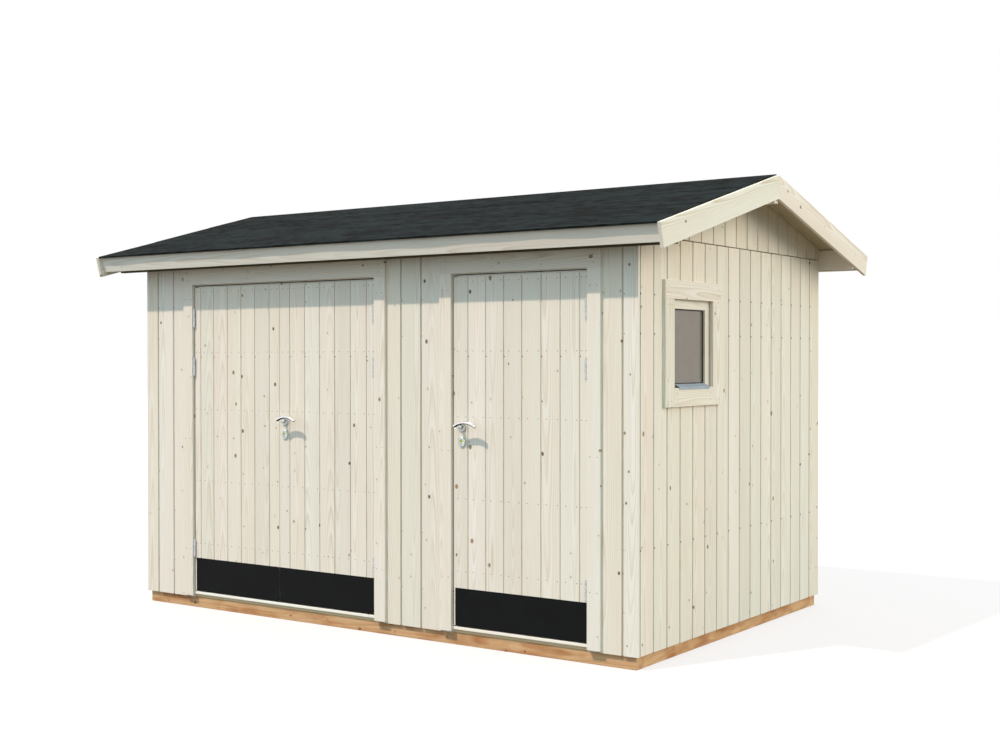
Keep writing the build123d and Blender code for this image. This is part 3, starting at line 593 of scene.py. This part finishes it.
# roof boards down the slope, joints showing from below, then the timbers along and across the roof
roofPitch, roofStart, bargeFoot = 2 * inner / roof["boards"], roof["felt"] * slope, roof["felt"] + roof["bargeWidth"]
roofSides = ((-1, "Front"), (1, "Back"))
# roof boards of the rough wood, darkened in part as painted shade under the eaves
for side, name in roofSides:
    timberPiece("roofBoards" + name, [
        timber(slopePoint(side, -inner + roofPitch * i + roof["boardGap"], roofStart, -roof["felt"]), downSlope(side),
               east, -offSlope(side),
               (roof["fasciaBack"] - roofStart, roofPitch - 2 * roof["boardGap"], roof["board"]),
               boardLuck(7, i, side + 1), (arris, arris, roof["boardCut"], roof["boardCut"]), boardLook["bulge"],
               (0, slope, 0, 0)) for i in range(roof["boards"])], ("roof_boards_" + name.lower(),), roughPaintedShadeSpruce)
timberPiece("fasciaBoards", [
    timber(slopePoint(side, -inner + roof["fasciaGap"], roof["fasciaBack"], -roof["felt"] - roof["fasciaWidth"]),
           east, offSlope(side), downSlope(side),
           (2 * inner - 2 * roof["fasciaGap"], roof["fasciaWidth"], roof["fasciaThick"]),
           boardLuck(8, side + 1), roof["edgeCut"]) for side, name in roofSides], ("fascia_boards",))
for side, name in roofSides:
    timberPiece("bargeBoards" + name, [
        timber(slopePoint(side, x, bargeFoot * slope, -bargeFoot), downSlope(side), offSlope(side), east,
               (roof["bargeLine"] - bargeFoot * slope, roof["bargeWidth"], roof["bargeThick"]),
               boardLuck(9, side + 1, i), roof["edgeCut"], cuts=(-slope, 0, 0, 0))
        for i, x in enumerate((-inner - roof["bargeThick"], inner))], ("barge_boards_" + name.lower(),), trimSpruce)
timberPiece("ridgeBeam", [timber((-inner, -beamHalf, beamUnder), east, up, north,
            (2 * inner, roofUnderside(beamHalf) - beamUnder, 2 * beamHalf), boardLuck(10), roof["beamCut"])],
            ("ridge_beam",))

# eave plates: one timber each, let in to the gables above the wall top; the front one is dark with painted shade
plate = dict(thick=26 * mm, corners=(1, 0.2, 0.2, 1), soft=0.1)
plateLow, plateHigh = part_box("eave_plates")
plateTop, wallTop, wallInner = roofUnderside(plateHigh[1]), gableLow[2], wall["halfX"] - wall["clad"]
plateX = (-inner, -wall["halfX"], -wallInner, wallInner, wall["halfX"], inner)
plateTops = (plateTop, wallTop, plateTop, wallTop, plateTop)
for side, name, look, replaced in ((-1, "eavePlateFront", paintedShadeSpruce, ("eave_plates",)),
                                   (1, "eavePlateBack", planedSpruce, ())):
    startY = plateLow[1] if side < 0 else -plateLow[1] - plate["thick"]
    timberPiece(name, [
        timber((xLow, startY, plateLow[2]), east, up, north, (xHigh - xLow, zHigh - plateLow[2], plate["thick"]),
               boardLuck(11, side + 1), plate["corners"], slide=(0, xLow), soft=plate["soft"])
        for xLow, xHigh, zHigh in zip(plateX[:-1], plateX[1:], plateTops)], replaced, look)

# felt in courses: laps in metres down the slope; edgeRows (mm back from the edge, mm off the slope, share of the
# drip wave) go round the lip
feltLay = dict(
    laps=(0.40, 0.87), step=1.2 * mm, lapRamp=6 * mm, lapKnee=0.3, sink=0.8 * mm, wave=0.5 * mm, dripWave=1.2 * mm,
    stations=121, rows=34, sideGap=0.2 * mm, topEnd=8 * mm,
    edgeRows=((3, -0.4, 0.3), (1, -1.4, 0.7), (0, -3.4, 1), (0, -10, 1), (1, -10.6, 1), (2.6, -10, 1), (4, -4, 0.6)))


# n(x, s) is the step of the course plus a slow wave of sines, nought at ridge and edge; the edge turns down in a lip
def feltShell(side):
    reach, edge, ramped = inner - feltLay["sideGap"], roof["feltEdge"], feltLay["lapRamp"]
    x = np.linspace(-reach, reach, feltLay["stations"])[:, None]
    laps = [lap + ramped * share for lap in feltLay["laps"] for share in (0, feltLay["lapKnee"], 1)]
    s = np.unique(np.concatenate([np.linspace(0, edge - feltLay["topEnd"], feltLay["rows"]), laps]))[None]
    step = sum(1 - np.clip((s - lap) / ramped, 0, 1) for lap in feltLay["laps"]) * feltLay["step"]
    ripple = np.sin(3.1 * x + 4.3 * s + side) + np.sin(7.9 * x - 6.1 * s) * 0.6
    wave = feltLay["wave"] * ripple * np.sin(pi * s / edge)
    drip = feltLay["dripWave"] * (np.sin(5.3 * x + side) + 0.6 * np.sin(13.7 * x))
    top = np.stack(np.broadcast_arrays(x, s + 0 * x, step - feltLay["sink"] + wave), -1)
    back, high, hang = np.array(feltLay["edgeRows"]).T
    lipS = np.append(edge - back * mm, roofStart) + drip * np.append(hang, 0)
    lip = np.stack(np.broadcast_arrays(x, lipS, np.append(high * mm, -roof["felt"])), -1)
    ring = np.concatenate([top, lip], 1)
    points = (np.array([0, 0, roof["ridge"]]) + ring[..., :1] * east + ring[..., 1:2] * downSlope(side)
              + ring[..., 2:] * offSlope(side))
    return shell(points[None], capped=True)


putPiece("feltFront", feltShell(-1), mineralFelt, replaced=("roof_felt_front",), smoothAngle=30)
putPiece("feltBack", feltShell(1), mineralFelt, replaced=("roof_felt_back",), smoothAngle=30)
print("roof laid")

# timbers that are plain boxes in the model, and the base: long beams in front and behind, cross beams between them
base = dict(beam=70 * mm, cross=5, corners=2.5)
trimCut, windowTrims = 1.5, solidBoxes("window_trim_rails") + solidBoxes("window_trim_sides")
timberPiece("wallStuds", boxTimbers(solidBoxes("wall_studs"), 12), ("wall_studs",))
timberPiece("wallRails", boxTimbers(solidBoxes("wall_rails"), 13), ("wall_rails",))
(x0, y0, z0), (x1, y1, z1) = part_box("base_beams")
beam = base["beam"]
baseBoxes = [((x0, y0, z0), (x1, y0 + beam, z1)), ((x0, y1 - beam, z0), (x1, y1, z1))]
baseBoxes += [((x, y0 + beam, z0), (x + beam, y1 - beam, z1)) for x in np.linspace(x0, x1 - beam, base["cross"])]
timberPiece("baseBeams", [boxTimber(low, high, (14, i), base["corners"], deepAxis=int(i < 2)) for i, (low, high)
            in enumerate(baseBoxes)], ("base_beams",), impregnatedTimber)
timberPiece("doorCasings", boxTimbers(solidBoxes("door_casings"), 15, trimCut), ("door_casings",))
rainStrip = dict(x=((-1288, 100), (617, 1426)), y=(-1093, -1079), z=(1900.5, 1905), corners=0.6)
headerStrips = boxTimbers(spanBoxes(rainStrip["x"], rainStrip["y"], rainStrip["z"]), 25, rainStrip["corners"])
timberPiece("doorHeaders", boxTimbers(solidBoxes("door_headers"), 16, trimCut) + headerStrips, ("door_headers",))
timberPiece("windowTrims", boxTimbers(windowTrims, 17, trimCut), ("window_trim_rails", "window_trim_sides"),
            trimSpruce)

# floor boards along the shed, tongued
floor = dict(boards=17, gap=0.2 * mm, corners=(0.3, 0.3, 1.2, 1.2))
(x0, y0, z0), (x1, y1, z1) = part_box("floor_boards")
floorPitch = (y1 - y0) / floor["boards"]
timberPiece("floorBoards", [timber((x0, y0 + floorPitch * i + floor["gap"], z0), east, north, up,
            (x1 - x0, floorPitch - 2 * floor["gap"], z1 - z0), boardLuck(18, i), floor["corners"])
            for i in range(floor["boards"])], ("floor_boards",))

# jambs: a post in the wall and a stop strip behind the leaf, and a stop over each leaf
jamb = dict(
    edges=((-1290, 1), (102, -1), (615, 1), (1428, -1)), post=45, stop=15, postY=(-1077, -1032),
    stopY=(-1068, -1032), headX=((-1275, 87), (630, 1413)), headY=(-1052, -1032), headZ=(1902, 1960))
jambZ = [corner[2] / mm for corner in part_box("door_jambs")]
postX = [sorted((edge, edge - inward * jamb["post"])) for edge, inward in jamb["edges"]]
stopX = [sorted((edge, edge + inward * jamb["stop"])) for edge, inward in jamb["edges"]]
timberPiece("doorJambs", boxTimbers(spanBoxes(postX, jamb["postY"], jambZ), 19)
            + boxTimbers(spanBoxes(stopX, jamb["stopY"], jambZ), 20)
            + boxTimbers(spanBoxes(jamb["headX"], jamb["headY"], jamb["headZ"]), 24), ("door_jambs",))

# thresholds: a nosing board over a set-back block
threshold = dict(nosing=16 * mm, setBack=16 * mm, gap=0.1 * mm, corners=2.5)
thresholdBoxes = solidBoxes("door_thresholds")
blockDrop = up * (threshold["nosing"] + threshold["gap"])
nosings = [((*low[:2], high[2] - threshold["nosing"]), high) for low, high in thresholdBoxes]
blocks = [(low + north * threshold["setBack"], high - blockDrop) for low, high in thresholdBoxes]
# the nosing's nearly white wood is in part a painted highlight for its sunlit top
timberPiece("doorThresholds", boxTimbers(nosings, 21, threshold["corners"]), ("door_thresholds",), paintedHighlightSpruce)
timberPiece("thresholdBlocks", boxTimbers(blocks, 22), look=strawSpruce)

# window: stiles run full height, rails between them, a rubber strip round the pane, a folded sheet sill
window = dict(
    stile=52 * mm, head=52 * mm, foot=24 * mm, soft=0.2, strip=5 * mm, stripDeep=5 * mm, round=5 * mm,
    stripSection=((0, 0), (0, 0.7), (0.15, 1), (0.85, 1), (1, 0.7), (1, 0)))
(x0, y0, z0), (x1, y1, z1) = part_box("window_sash")
railY0, railY1 = y0 + window["stile"], y1 - window["stile"]
timberPiece("windowSash", boxTimbers([((x0, y0, z0), (x1, railY0, z1)), ((x0, railY1, z0), (x1, y1, z1)),
            ((x0, railY0, z1 - window["head"]), (x1, railY1, z1)),
            ((x0, railY0, z0), (x1, railY1, z0 + window["foot"]))], 23, soft=window["soft"]), ("window_sash",))


# the strip: a rounded section carried round the pane's outline, its corners turned on a small arc
def stripShell(steps=5):
    low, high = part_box("window_glass")
    turns = np.concatenate([np.linspace(0, pi / 2, steps) + k * pi / 2 for k in range(4)])
    signs = np.repeat([[1, 1], [-1, 1], [-1, -1], [1, -1]], steps, axis=0)
    centre = np.where(signs > 0, high[1:], low[1:]) - signs * (window["strip"] + window["round"])
    section = np.array(window["stripSection"])
    reach = window["round"] + section[:, 0] * window["strip"]
    yz = centre[:, None] + np.stack([np.cos(turns), np.sin(turns)], -1)[:, None] * reach[None, :, None]
    x = high[0] + section[:, 1] * window["stripDeep"] + 0 * yz[..., 0]
    return shell(np.concatenate([x[..., None], yz], -1)[None], closedAlong=True)


putPiece("paneStrip", stripShell(), blackRubberAndPaintedShade, smoothAngle=40)
# the sill: fold in (mm out of the wall, mm up), carried along the window, its ends drawn by a little
sill = dict(
    fold=((0, 27.5), (23.6, 14.1), (25.6, 12.9), (26.5, 11.4), (26.5, 0), (24.9, -0.6), (24.5, 0.4),
        (24.5, 10.6), (23.6, 11.8), (0, 25.2)), end=0.6 * mm, lift=0.6 * mm, flatten=0.98)
sillLow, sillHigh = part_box("window_sill")
foldX, foldZ = np.array(sill["fold"]).T[:, None] * mm
sillY = np.array([sillLow[1], sillLow[1] + sill["end"], sillHigh[1] - sill["end"], sillHigh[1]])[:, None]
sillZ = sillLow[2] + sill["lift"] + foldZ * sill["flatten"]
sillPoints = np.stack(np.broadcast_arrays(sillLow[0] + foldX, sillY, sillZ), -1)
putPiece("windowSill", shell(sillPoints[None], capped=True), coatedSheet, replaced=("window_sill",), smoothAngle=30)
nodes["window_glass"].data.materials.clear()
nodes["window_glass"].data.materials.append(paneGlass)
print("frame timbers and window set")

# door leaves: grooves in mm from the wall's left edge, grow in mm at the meeting edges
leafLook = dict(
    joint=dict(cut=2.4, slot=3.0, tongue=6.0), edgeCut=2, ledge=15, ledgeGrow=6, ledgeCut=1.5, plateCut=0.8)
leaves = dict(
    left=dict(grooves=(463.6, 571.6, 684.6, 794.2, 903.6, 1018.3), number=30, grow=(0, 2)),
    right=dict(grooves=(1176.4, 1289.0, 1399.9, 1510.2, 1623.1, 1736.2), number=40, grow=(2, 0)),
    single=dict(grooves=(2411.5, 2522.0, 2632.4, 2741.6, 2855.2, 2966.7, 3078.3), number=50, grow=(0, 0)))
# nails: rows are heights in metres, sides the distance from a groove; the wall heads are wide dark discs, partly
# painted shade
nail = dict(
    radius=2.4 * mm, wallRadius=4.5 * mm, grooveRadius=3.4 * mm, rise=0.6 * mm, grooveRow=1.481, doorSide=4.5 * mm,
    doorRows=(1.863, 1.508, 1.173, 0.754, 0.384), doorShares=(0.29, 0.86), wallRows=(1.775, 1.588, 0.565),
    footRow=0.27, wallSide=9 * mm, edge=10 * mm, doorways=((-1.37, 0.18), (0.54, 1.51)), trimY=(-0.87, -0.23),
    trimZ=(1.22, 1.87), pair=(-0.02, 0.02), casingRows=(0.35, 1.0, 1.82), headerEnd=0.04, headerNails=4,
    trimInset=0.03)


# nail heads: low domes of four rows of eight points, turned about the face's outward line
def nailShell(places, outward, r=nail["radius"]):
    h = nail["rise"]
    return turned(np.array(places), up, np.cross(outward, up), outward,
                  ((0, h), (0.75 * r, 0.75 * h), (r, 0.1 * h), (r, -h)), 8)


def gridPoints(x, y, z):  # every x with every y and z
    return np.stack(np.meshgrid(x, y, z, indexing="ij"), -1).reshape(-1, 3)


for side, leaf in leaves.items():
    body, title = side + "_leaf", side + "Leaf"
    (low, high), = solidBoxes(body + "_boards")
    (plateLow, plateHigh), = solidBoxes(body + "_kick_plate")
    grooves, grow = np.array(leaf["grooves"]) * mm - wall["halfX"], np.array(leaf["grow"])
    timberPiece(title + "Boards", boarding(low, high, 0, -north, grooves, leaf["number"], leafLook["joint"], grow,
                leafLook["edgeCut"]), (body + "_boards",), body=body)
    longer = (leafLook["ledge"] + leafLook["ledgeGrow"] * grow) * mm  # most where two leaves meet
    ledges = [(a - longer[0] * east, b + longer[1] * east) for a, b in solidBoxes(body + "_ledges")]
    timberPiece(title + "Ledges", boxTimbers(ledges, leaf["number"] + 1, leafLook["ledgeCut"]), (body + "_ledges",),
                body=body)
    kickPlate = boxTimber(plateLow - grow[0] * mm * east, plateHigh + grow[1] * mm * east, (leaf["number"] + 2,),
                          leafLook["plateCut"])
    putPiece(title + "KickPlate", timberShell([kickPlate])[0], blackSheet, body, (body + "_kick_plate",))
    edges = np.concatenate([[low[0]], grooves, [high[0]]])
    nailX = (edges[:-1, None] + np.diff(edges)[:, None] * np.array(nail["doorShares"])).ravel()
    besideGroove = gridPoints(grooves + nail["doorSide"], low[1], nail["grooveRow"])
    putPiece(title + "Nails", join(nailShell(gridPoints(nailX, low[1], nail["doorRows"]), -north),
             nailShell(besideGroove, -north, nail["grooveRadius"])), dullNailAndPaintedShade, body, smoothAngle=50)

# hinges in mm: a turned barrel half with a rounded tip on its free end, and a flap in the gap beside the leaf
hinge = dict(
    pinX=dict(left=(-1282.5, 1), right=(94.5, -1), single=(1420.5, -1)), pinY=-1101, foot=(299, 1367, 1654),
    half=54, halfStep=55, edgeGap=7.5, flap=2, flapBack=-1079, leafGap=6, flapShort=0.5, flapCut=0.5,
    barrel=((0, 0), (3.6, 0), (5.6, 0.7), (6.7, 2.2), (7, 4.5), (7, 6), (6.7, 6.5), (6.7, 7.2), (7, 7.7),
        (7, 53.4), (6.4, 54), (0, 54)))


# the leaf's half is the frame's half upside down, one step higher
def hingeHalf(side, onLeaf):
    pinX, inward = hinge["pinX"][side]
    feet = np.array(hinge["foot"], float) + hinge["halfStep"] * onLeaf
    barrel = np.array(hinge["barrel"])
    if onLeaf:
        barrel[:, 1] = hinge["half"] - barrel[:, 1]
    centres = np.stack([np.full(3, pinX), np.full(3, hinge["pinY"]), feet], -1) * mm
    flapX = pinX - inward * (hinge["edgeGap"] - (hinge["leafGap"] - hinge["flap"]) * onLeaf)
    flapSpan, short = sorted((flapX, flapX + inward * hinge["flap"])), hinge["flapShort"]
    flaps = [boxTimber(*spanBoxes([flapSpan], (hinge["pinY"], hinge["flapBack"]),
             (z + short, z + hinge["half"] - short))[0], (60,), hinge["flapCut"]) for z in feet]
    return join(turned(centres, east, north, up, barrel * mm, 20), timberShell(flaps)[0])


putPiece("frameHinges", join(*[hingeHalf(side, False) for side in leaves]), brightZinc, "shed", ("frame_hinges",), 35)
for side in leaves:
    putPiece(side + "LeafHinges", hingeHalf(side, True), brightZinc, side + "_leaf", (side + "_leaf_hinges",), 35)

# lever furniture in mm: domed rose with a black ring of painted shade at the neck's foot, oval cover with a brass
# cylinder, arched grip on a waisted neck; profiles are (radius, height) pairs, the cover's radius a share of its half
# sizes
handle = dict(
    spindleX=dict(right=-557.656, single=676.0), spindleZ=1121, cylinderZ=1046, face=-1093, coverHalf=(22, 25.5),
    coverDeep=11, standoff=62, depth=20, thick=15, heel=12, reach=132, crown=33, arch=23, split=-0.3,
    endDraw=(0.35, 0.72, 0.93), endAt=(1, 0.995, 0.975), barEnd=0.94, stations=29, taper=0.8, paintedShadeInset=0.25,
    square=0.55, flat=0.75,
    neck=((0, 9.5), (9, 9.5), (9, 12), (8.2, 16), (7.6, 24), (7.8, 40), (9, 52), (9, 59), (8, 61), (0, 61)),
    rose=((0, 0), (24, 0), (24, 4.05), (23.5, 6.3), (22.4, 8.1), (20.5, 9), (11, 9), (10.4, 8.2), (0, 8.2)),
    cover=((0, 0), (1, 0), (1, 4.4), (0.975, 7.26), (0.9, 9.46), (0.74, 10.67), (0.6, 11), (0, 11)),
    plug=((0, -1), (8.5, -1), (8.5, 0.5), (8.1, 0.9), (0, 0.9)), plugUp=4,
    paintedShadeRing=((9.4, 8), (11.6, 8), (11.6, 9.6), (11.2, 10), (9.8, 10), (9.4, 9.6), (9.4, 8)),
    slotLow=(-0.9, -12.2, 0), slotHigh=(0.9, -11.5, 9), slotCut=0.2, slotSoft=0.1,
    dot=((0, 0.5), (2.9, 0.4), (3.5, 0), (3.5, -1)), dotAt=(1, -11, -12))


# the grip: a rounded oblong carried along an arc through heel, crown and tip, drawn in at both ends; the bright cap
# is the part of the section above the split, the black sole below it is painted shade for the grip's dark underside
def gripShell(spindleX, paintedShadeSole):
    half, halfThick = (handle["heel"] + handle["reach"]) / 2, handle["thick"] / 2
    radius = (half ** 2 + handle["arch"] ** 2) / (2 * handle["arch"]) - halfThick
    reachAngle = np.arcsin((half - 1) / (radius + halfThick))
    endAt, endDraw = np.array(handle["endAt"]), handle["endDraw"]
    t = np.concatenate([-endAt, np.linspace(-handle["barEnd"], handle["barEnd"], handle["stations"]), endAt[::-1]])
    ends = np.concatenate([endDraw, np.ones(handle["stations"]), endDraw[::-1]])[:, None]
    turn = np.linspace(0, 2 * pi, 24, endpoint=False)[None]
    wide = (handle["depth"] / 2 - handle["taper"] * np.clip(t, 0, 1)[:, None] - handle["paintedShadeInset"] * paintedShadeSole) * ends
    squarish = np.sign(np.cos(turn)) * np.abs(np.cos(turn)) ** handle["square"]
    flatish = np.sign(np.sin(turn)) * np.abs(np.sin(turn)) ** handle["flat"]
    flatish = (np.minimum if paintedShadeSole else np.maximum)(flatish, handle["split"])
    out = radius + halfThick * flatish * ends
    angle = (t * reachAngle)[:, None]
    x = spindleX + (handle["reach"] - handle["heel"]) / 2 + out * np.sin(angle)
    z = handle["spindleZ"] + handle["crown"] - halfThick - radius + out * np.cos(angle)
    y = handle["face"] - handle["standoff"] + wide * squarish
    return shell(np.stack(np.broadcast_arrays(x, y, z), -1)[None] * mm, capped=True)


for name, spindleX in handle["spindleX"].items():
    face, lock = [np.array([spindleX, handle["face"], z]) for z in (handle["spindleZ"], handle["cylinderZ"])]
    lever, leaf = name + "_lever", name + "_leaf"
    putPiece(name + "Lever", gripShell(spindleX, False), brightChrome, lever, (name + "_leaf_lever",), 40)
    putPiece(name + "LeverNeck", fitting(face, handle["neck"], 24), brightChrome, lever, smoothAngle=40)
    # the black sole under the grip is painted shade
    putPiece(name + "LeverPaintedShade", gripShell(spindleX, True), blackRubberAndPaintedShade, lever, smoothAngle=40)
    putPiece(name + "Rose", fitting(face, handle["rose"], 40), satinChrome, leaf, (name + "_leaf_lock_plates",), 35)
    cover = fitting(lock, handle["cover"], 40, *handle["coverHalf"])
    putPiece(name + "LockCover", cover, paleChrome, leaf, smoothAngle=35)
    plugAt = lock + (0, -handle["coverDeep"], handle["plugUp"])
    putPiece(name + "LockCylinder", fitting(plugAt, handle["plug"], 24), turnedBrass, leaf, smoothAngle=35)
    slot = boxTimber((lock + handle["slotLow"]) * mm, (lock + handle["slotHigh"]) * mm, (61,), handle["slotCut"],
                     handle["slotSoft"])
    # key slot and dot in black rubber, and a black ring of painted shade round the neck's foot
    putPiece(name + "KeySlotAndShadeRing", join(timberShell([slot])[0], fitting(lock + handle["dotAt"], handle["dot"], 12),
             fitting(face, handle["paintedShadeRing"], 24)), blackRubberAndPaintedShade, leaf, smoothAngle=35)
print("doors hung")

# wall nails beside the grooves, and nails at the ends of casings, headers and trims
halfX, halfY, rows, inset = wall["halfX"], wall["halfY"], nail["wallRows"], nail["trimInset"]
frontX, sideY = frontGrooves + nail["wallSide"], sideGrooves + nail["wallSide"]
backX = frontX[(frontGrooves > -halfX + 2 * nail["edge"]) & (frontGrooves < halfX - 4 * nail["edge"])]
frontX = frontX[np.abs(frontX) < halfX - nail["edge"]]
frontX = frontX[~np.any([(frontX > a) & (frontX < b) for a, b in nail["doorways"]], axis=0)]
rightAt = gridPoints(halfX, sideY[np.abs(sideY) < halfY - nail["edge"]], rows)
underTrim = np.all([(rightAt[:, axis] > nail[key][0]) & (rightAt[:, axis] < nail[key][1])
                    for axis, key in ((1, "trimY"), (2, "trimZ"))], axis=0)
casingAt = [[(low[0] + high[0]) / 2 + dx, low[1], z] for low, high in solidBoxes("door_casings")
            for dx in nail["pair"] for z in nail["casingRows"]]
headerAt = [[x, low[1], (low[2] + high[2]) / 2 + dz] for low, high in solidBoxes("door_headers")
            for x in np.linspace(low[0] + nail["headerEnd"], high[0] - nail["headerEnd"], nail["headerNails"])
            for dz in nail["pair"]]
trimAt = [[high[0], y, z] for low, high in windowTrims for y in (low[1] + inset, high[1] - inset)
          for z in (low[2] + inset, high[2] - inset)]
putPiece("wallNails", join(
    nailShell(gridPoints(frontX, -halfY, (*rows, nail["footRow"])), -north),
    nailShell(rightAt[~underTrim], east, nail["wallRadius"]),
    nailShell(rightAt * (-1, 1, 1), -east, nail["wallRadius"]),
    nailShell(gridPoints(backX, halfY, rows), north), nailShell(casingAt, -north), nailShell(headerAt, -north),
    nailShell(trimAt, east)), dullNailAndPaintedShade, smoothAngle=50)
print("nails driven")


# 1 for rays straight from the camera, off metal or through glass, else 0
def seenShare():
    path = addNode("LightPath").outputs
    direct = maths("MAXIMUM", path["Is Camera Ray"], path["Is Glossy Ray"])
    return maths("MAXIMUM", direct, path["Is Transmission Ray"])


# pale floor: white to the camera where the light is full, a soft grey where the shed keeps it off
stageLook = dict(floor="#625B50", seen="#F2E0D8", keep=0.3, glow=1.0, half=40, points=9)
floorMaterial = newMaterial("paleFloor")
seen = seenShare()
floorTone = blend(seen, toLinear(stageLook["floor"]), toLinear(stageLook["seen"]))
matt = addNode("BsdfDiffuse", {"Color": floorTone})
glow = addNode("Emission", {"Strength": stageLook["glow"]})
floorMix = addNode("MixShader", {0: maths("MULTIPLY", seen, 1 - stageLook["keep"]),
                   1: matt.outputs[0], 2: glow.outputs[0]})
addNode("OutputMaterial", {"Surface": floorMix.outputs[0]})
across = np.linspace(-stageLook["half"], stageLook["half"], stageLook["points"])
floorMesh = bpy.data.meshes.new("paleFloor")
floorGrid = gridPoints(across, across, 0).reshape(1, len(across), len(across), 3)
floorPoints, floorFaces = shell(floorGrid, closedAcross=False)
floorMesh.from_pydata(floorPoints.tolist(), [], floorFaces[0].tolist())
floorMesh.materials.append(floorMaterial)
paleFloor = placed("paleFloor", floorMesh)

# world: cool even fill for the surfaces, plain white to the eye and in glass and metal
worldLook = dict(fill=(0.82, 1.06, 1.22, 1), seen=grey(1), strength=1.0)
world = bpy.data.worlds.new("paleSky")
bpy.context.scene.world = world
world.use_nodes = True
world.node_tree.nodes.clear()
trees.append(world.node_tree)
skyTone = blend(seenShare(), worldLook["fill"], worldLook["seen"])
sky = addNode("Background", {"Color": skyTone, "Strength": worldLook["strength"]})
addNode("OutputWorld", {"Surface": sky.outputs[0]})

# lamps: a warm key from the left front, a broad warm side light on the window wall, a weaker one on the unseen walls
lamps = dict(
    keyLamp=dict(travel=(0.5, 1.0, -1.57), tone=(1.0, 0.83, 0.71), power=2.93, spread=1.5),
    sideLamp=dict(travel=(-1.0, -0.3, -0.3), tone=(1.0, 0.82, 0.58), power=1.66, spread=45),
    backLamp=dict(travel=(0.8, -1.0, 0.0), tone=(1.0, 0.83, 0.66), power=1.3, spread=20))
for name, lamp in lamps.items():
    light = bpy.data.lights.new(name, "SUN")
    light.color, light.energy, light.angle = lamp["tone"], lamp["power"], radians(lamp["spread"])
    aim = np.array(lamp["travel"]) / np.linalg.norm(lamp["travel"])
    placed(name, light).rotation_euler = (np.arccos(-aim[2]), 0, np.arctan2(-aim[0], aim[1]))

# camera where the picture was taken from
view = dict(
    place=(4.915495, -6.827546, 1.466626), turn=(90 - 0.644, 0.023, 34.926), lens=50.325, sensor=36, far=200)
camera = bpy.data.cameras.new("viewCamera")
camera.sensor_width, camera.lens, camera.clip_end = view["sensor"], view["lens"], view["far"]
holder = placed("viewCamera", camera)
holder.location = view["place"]
holder.rotation_euler = [radians(a) for a in view["turn"]]
bpy.context.scene.camera = holder
bpy.context.scene.view_settings.view_transform = "Standard"
print("stage, lamps and camera set")

bpy.context.view_layer.update()
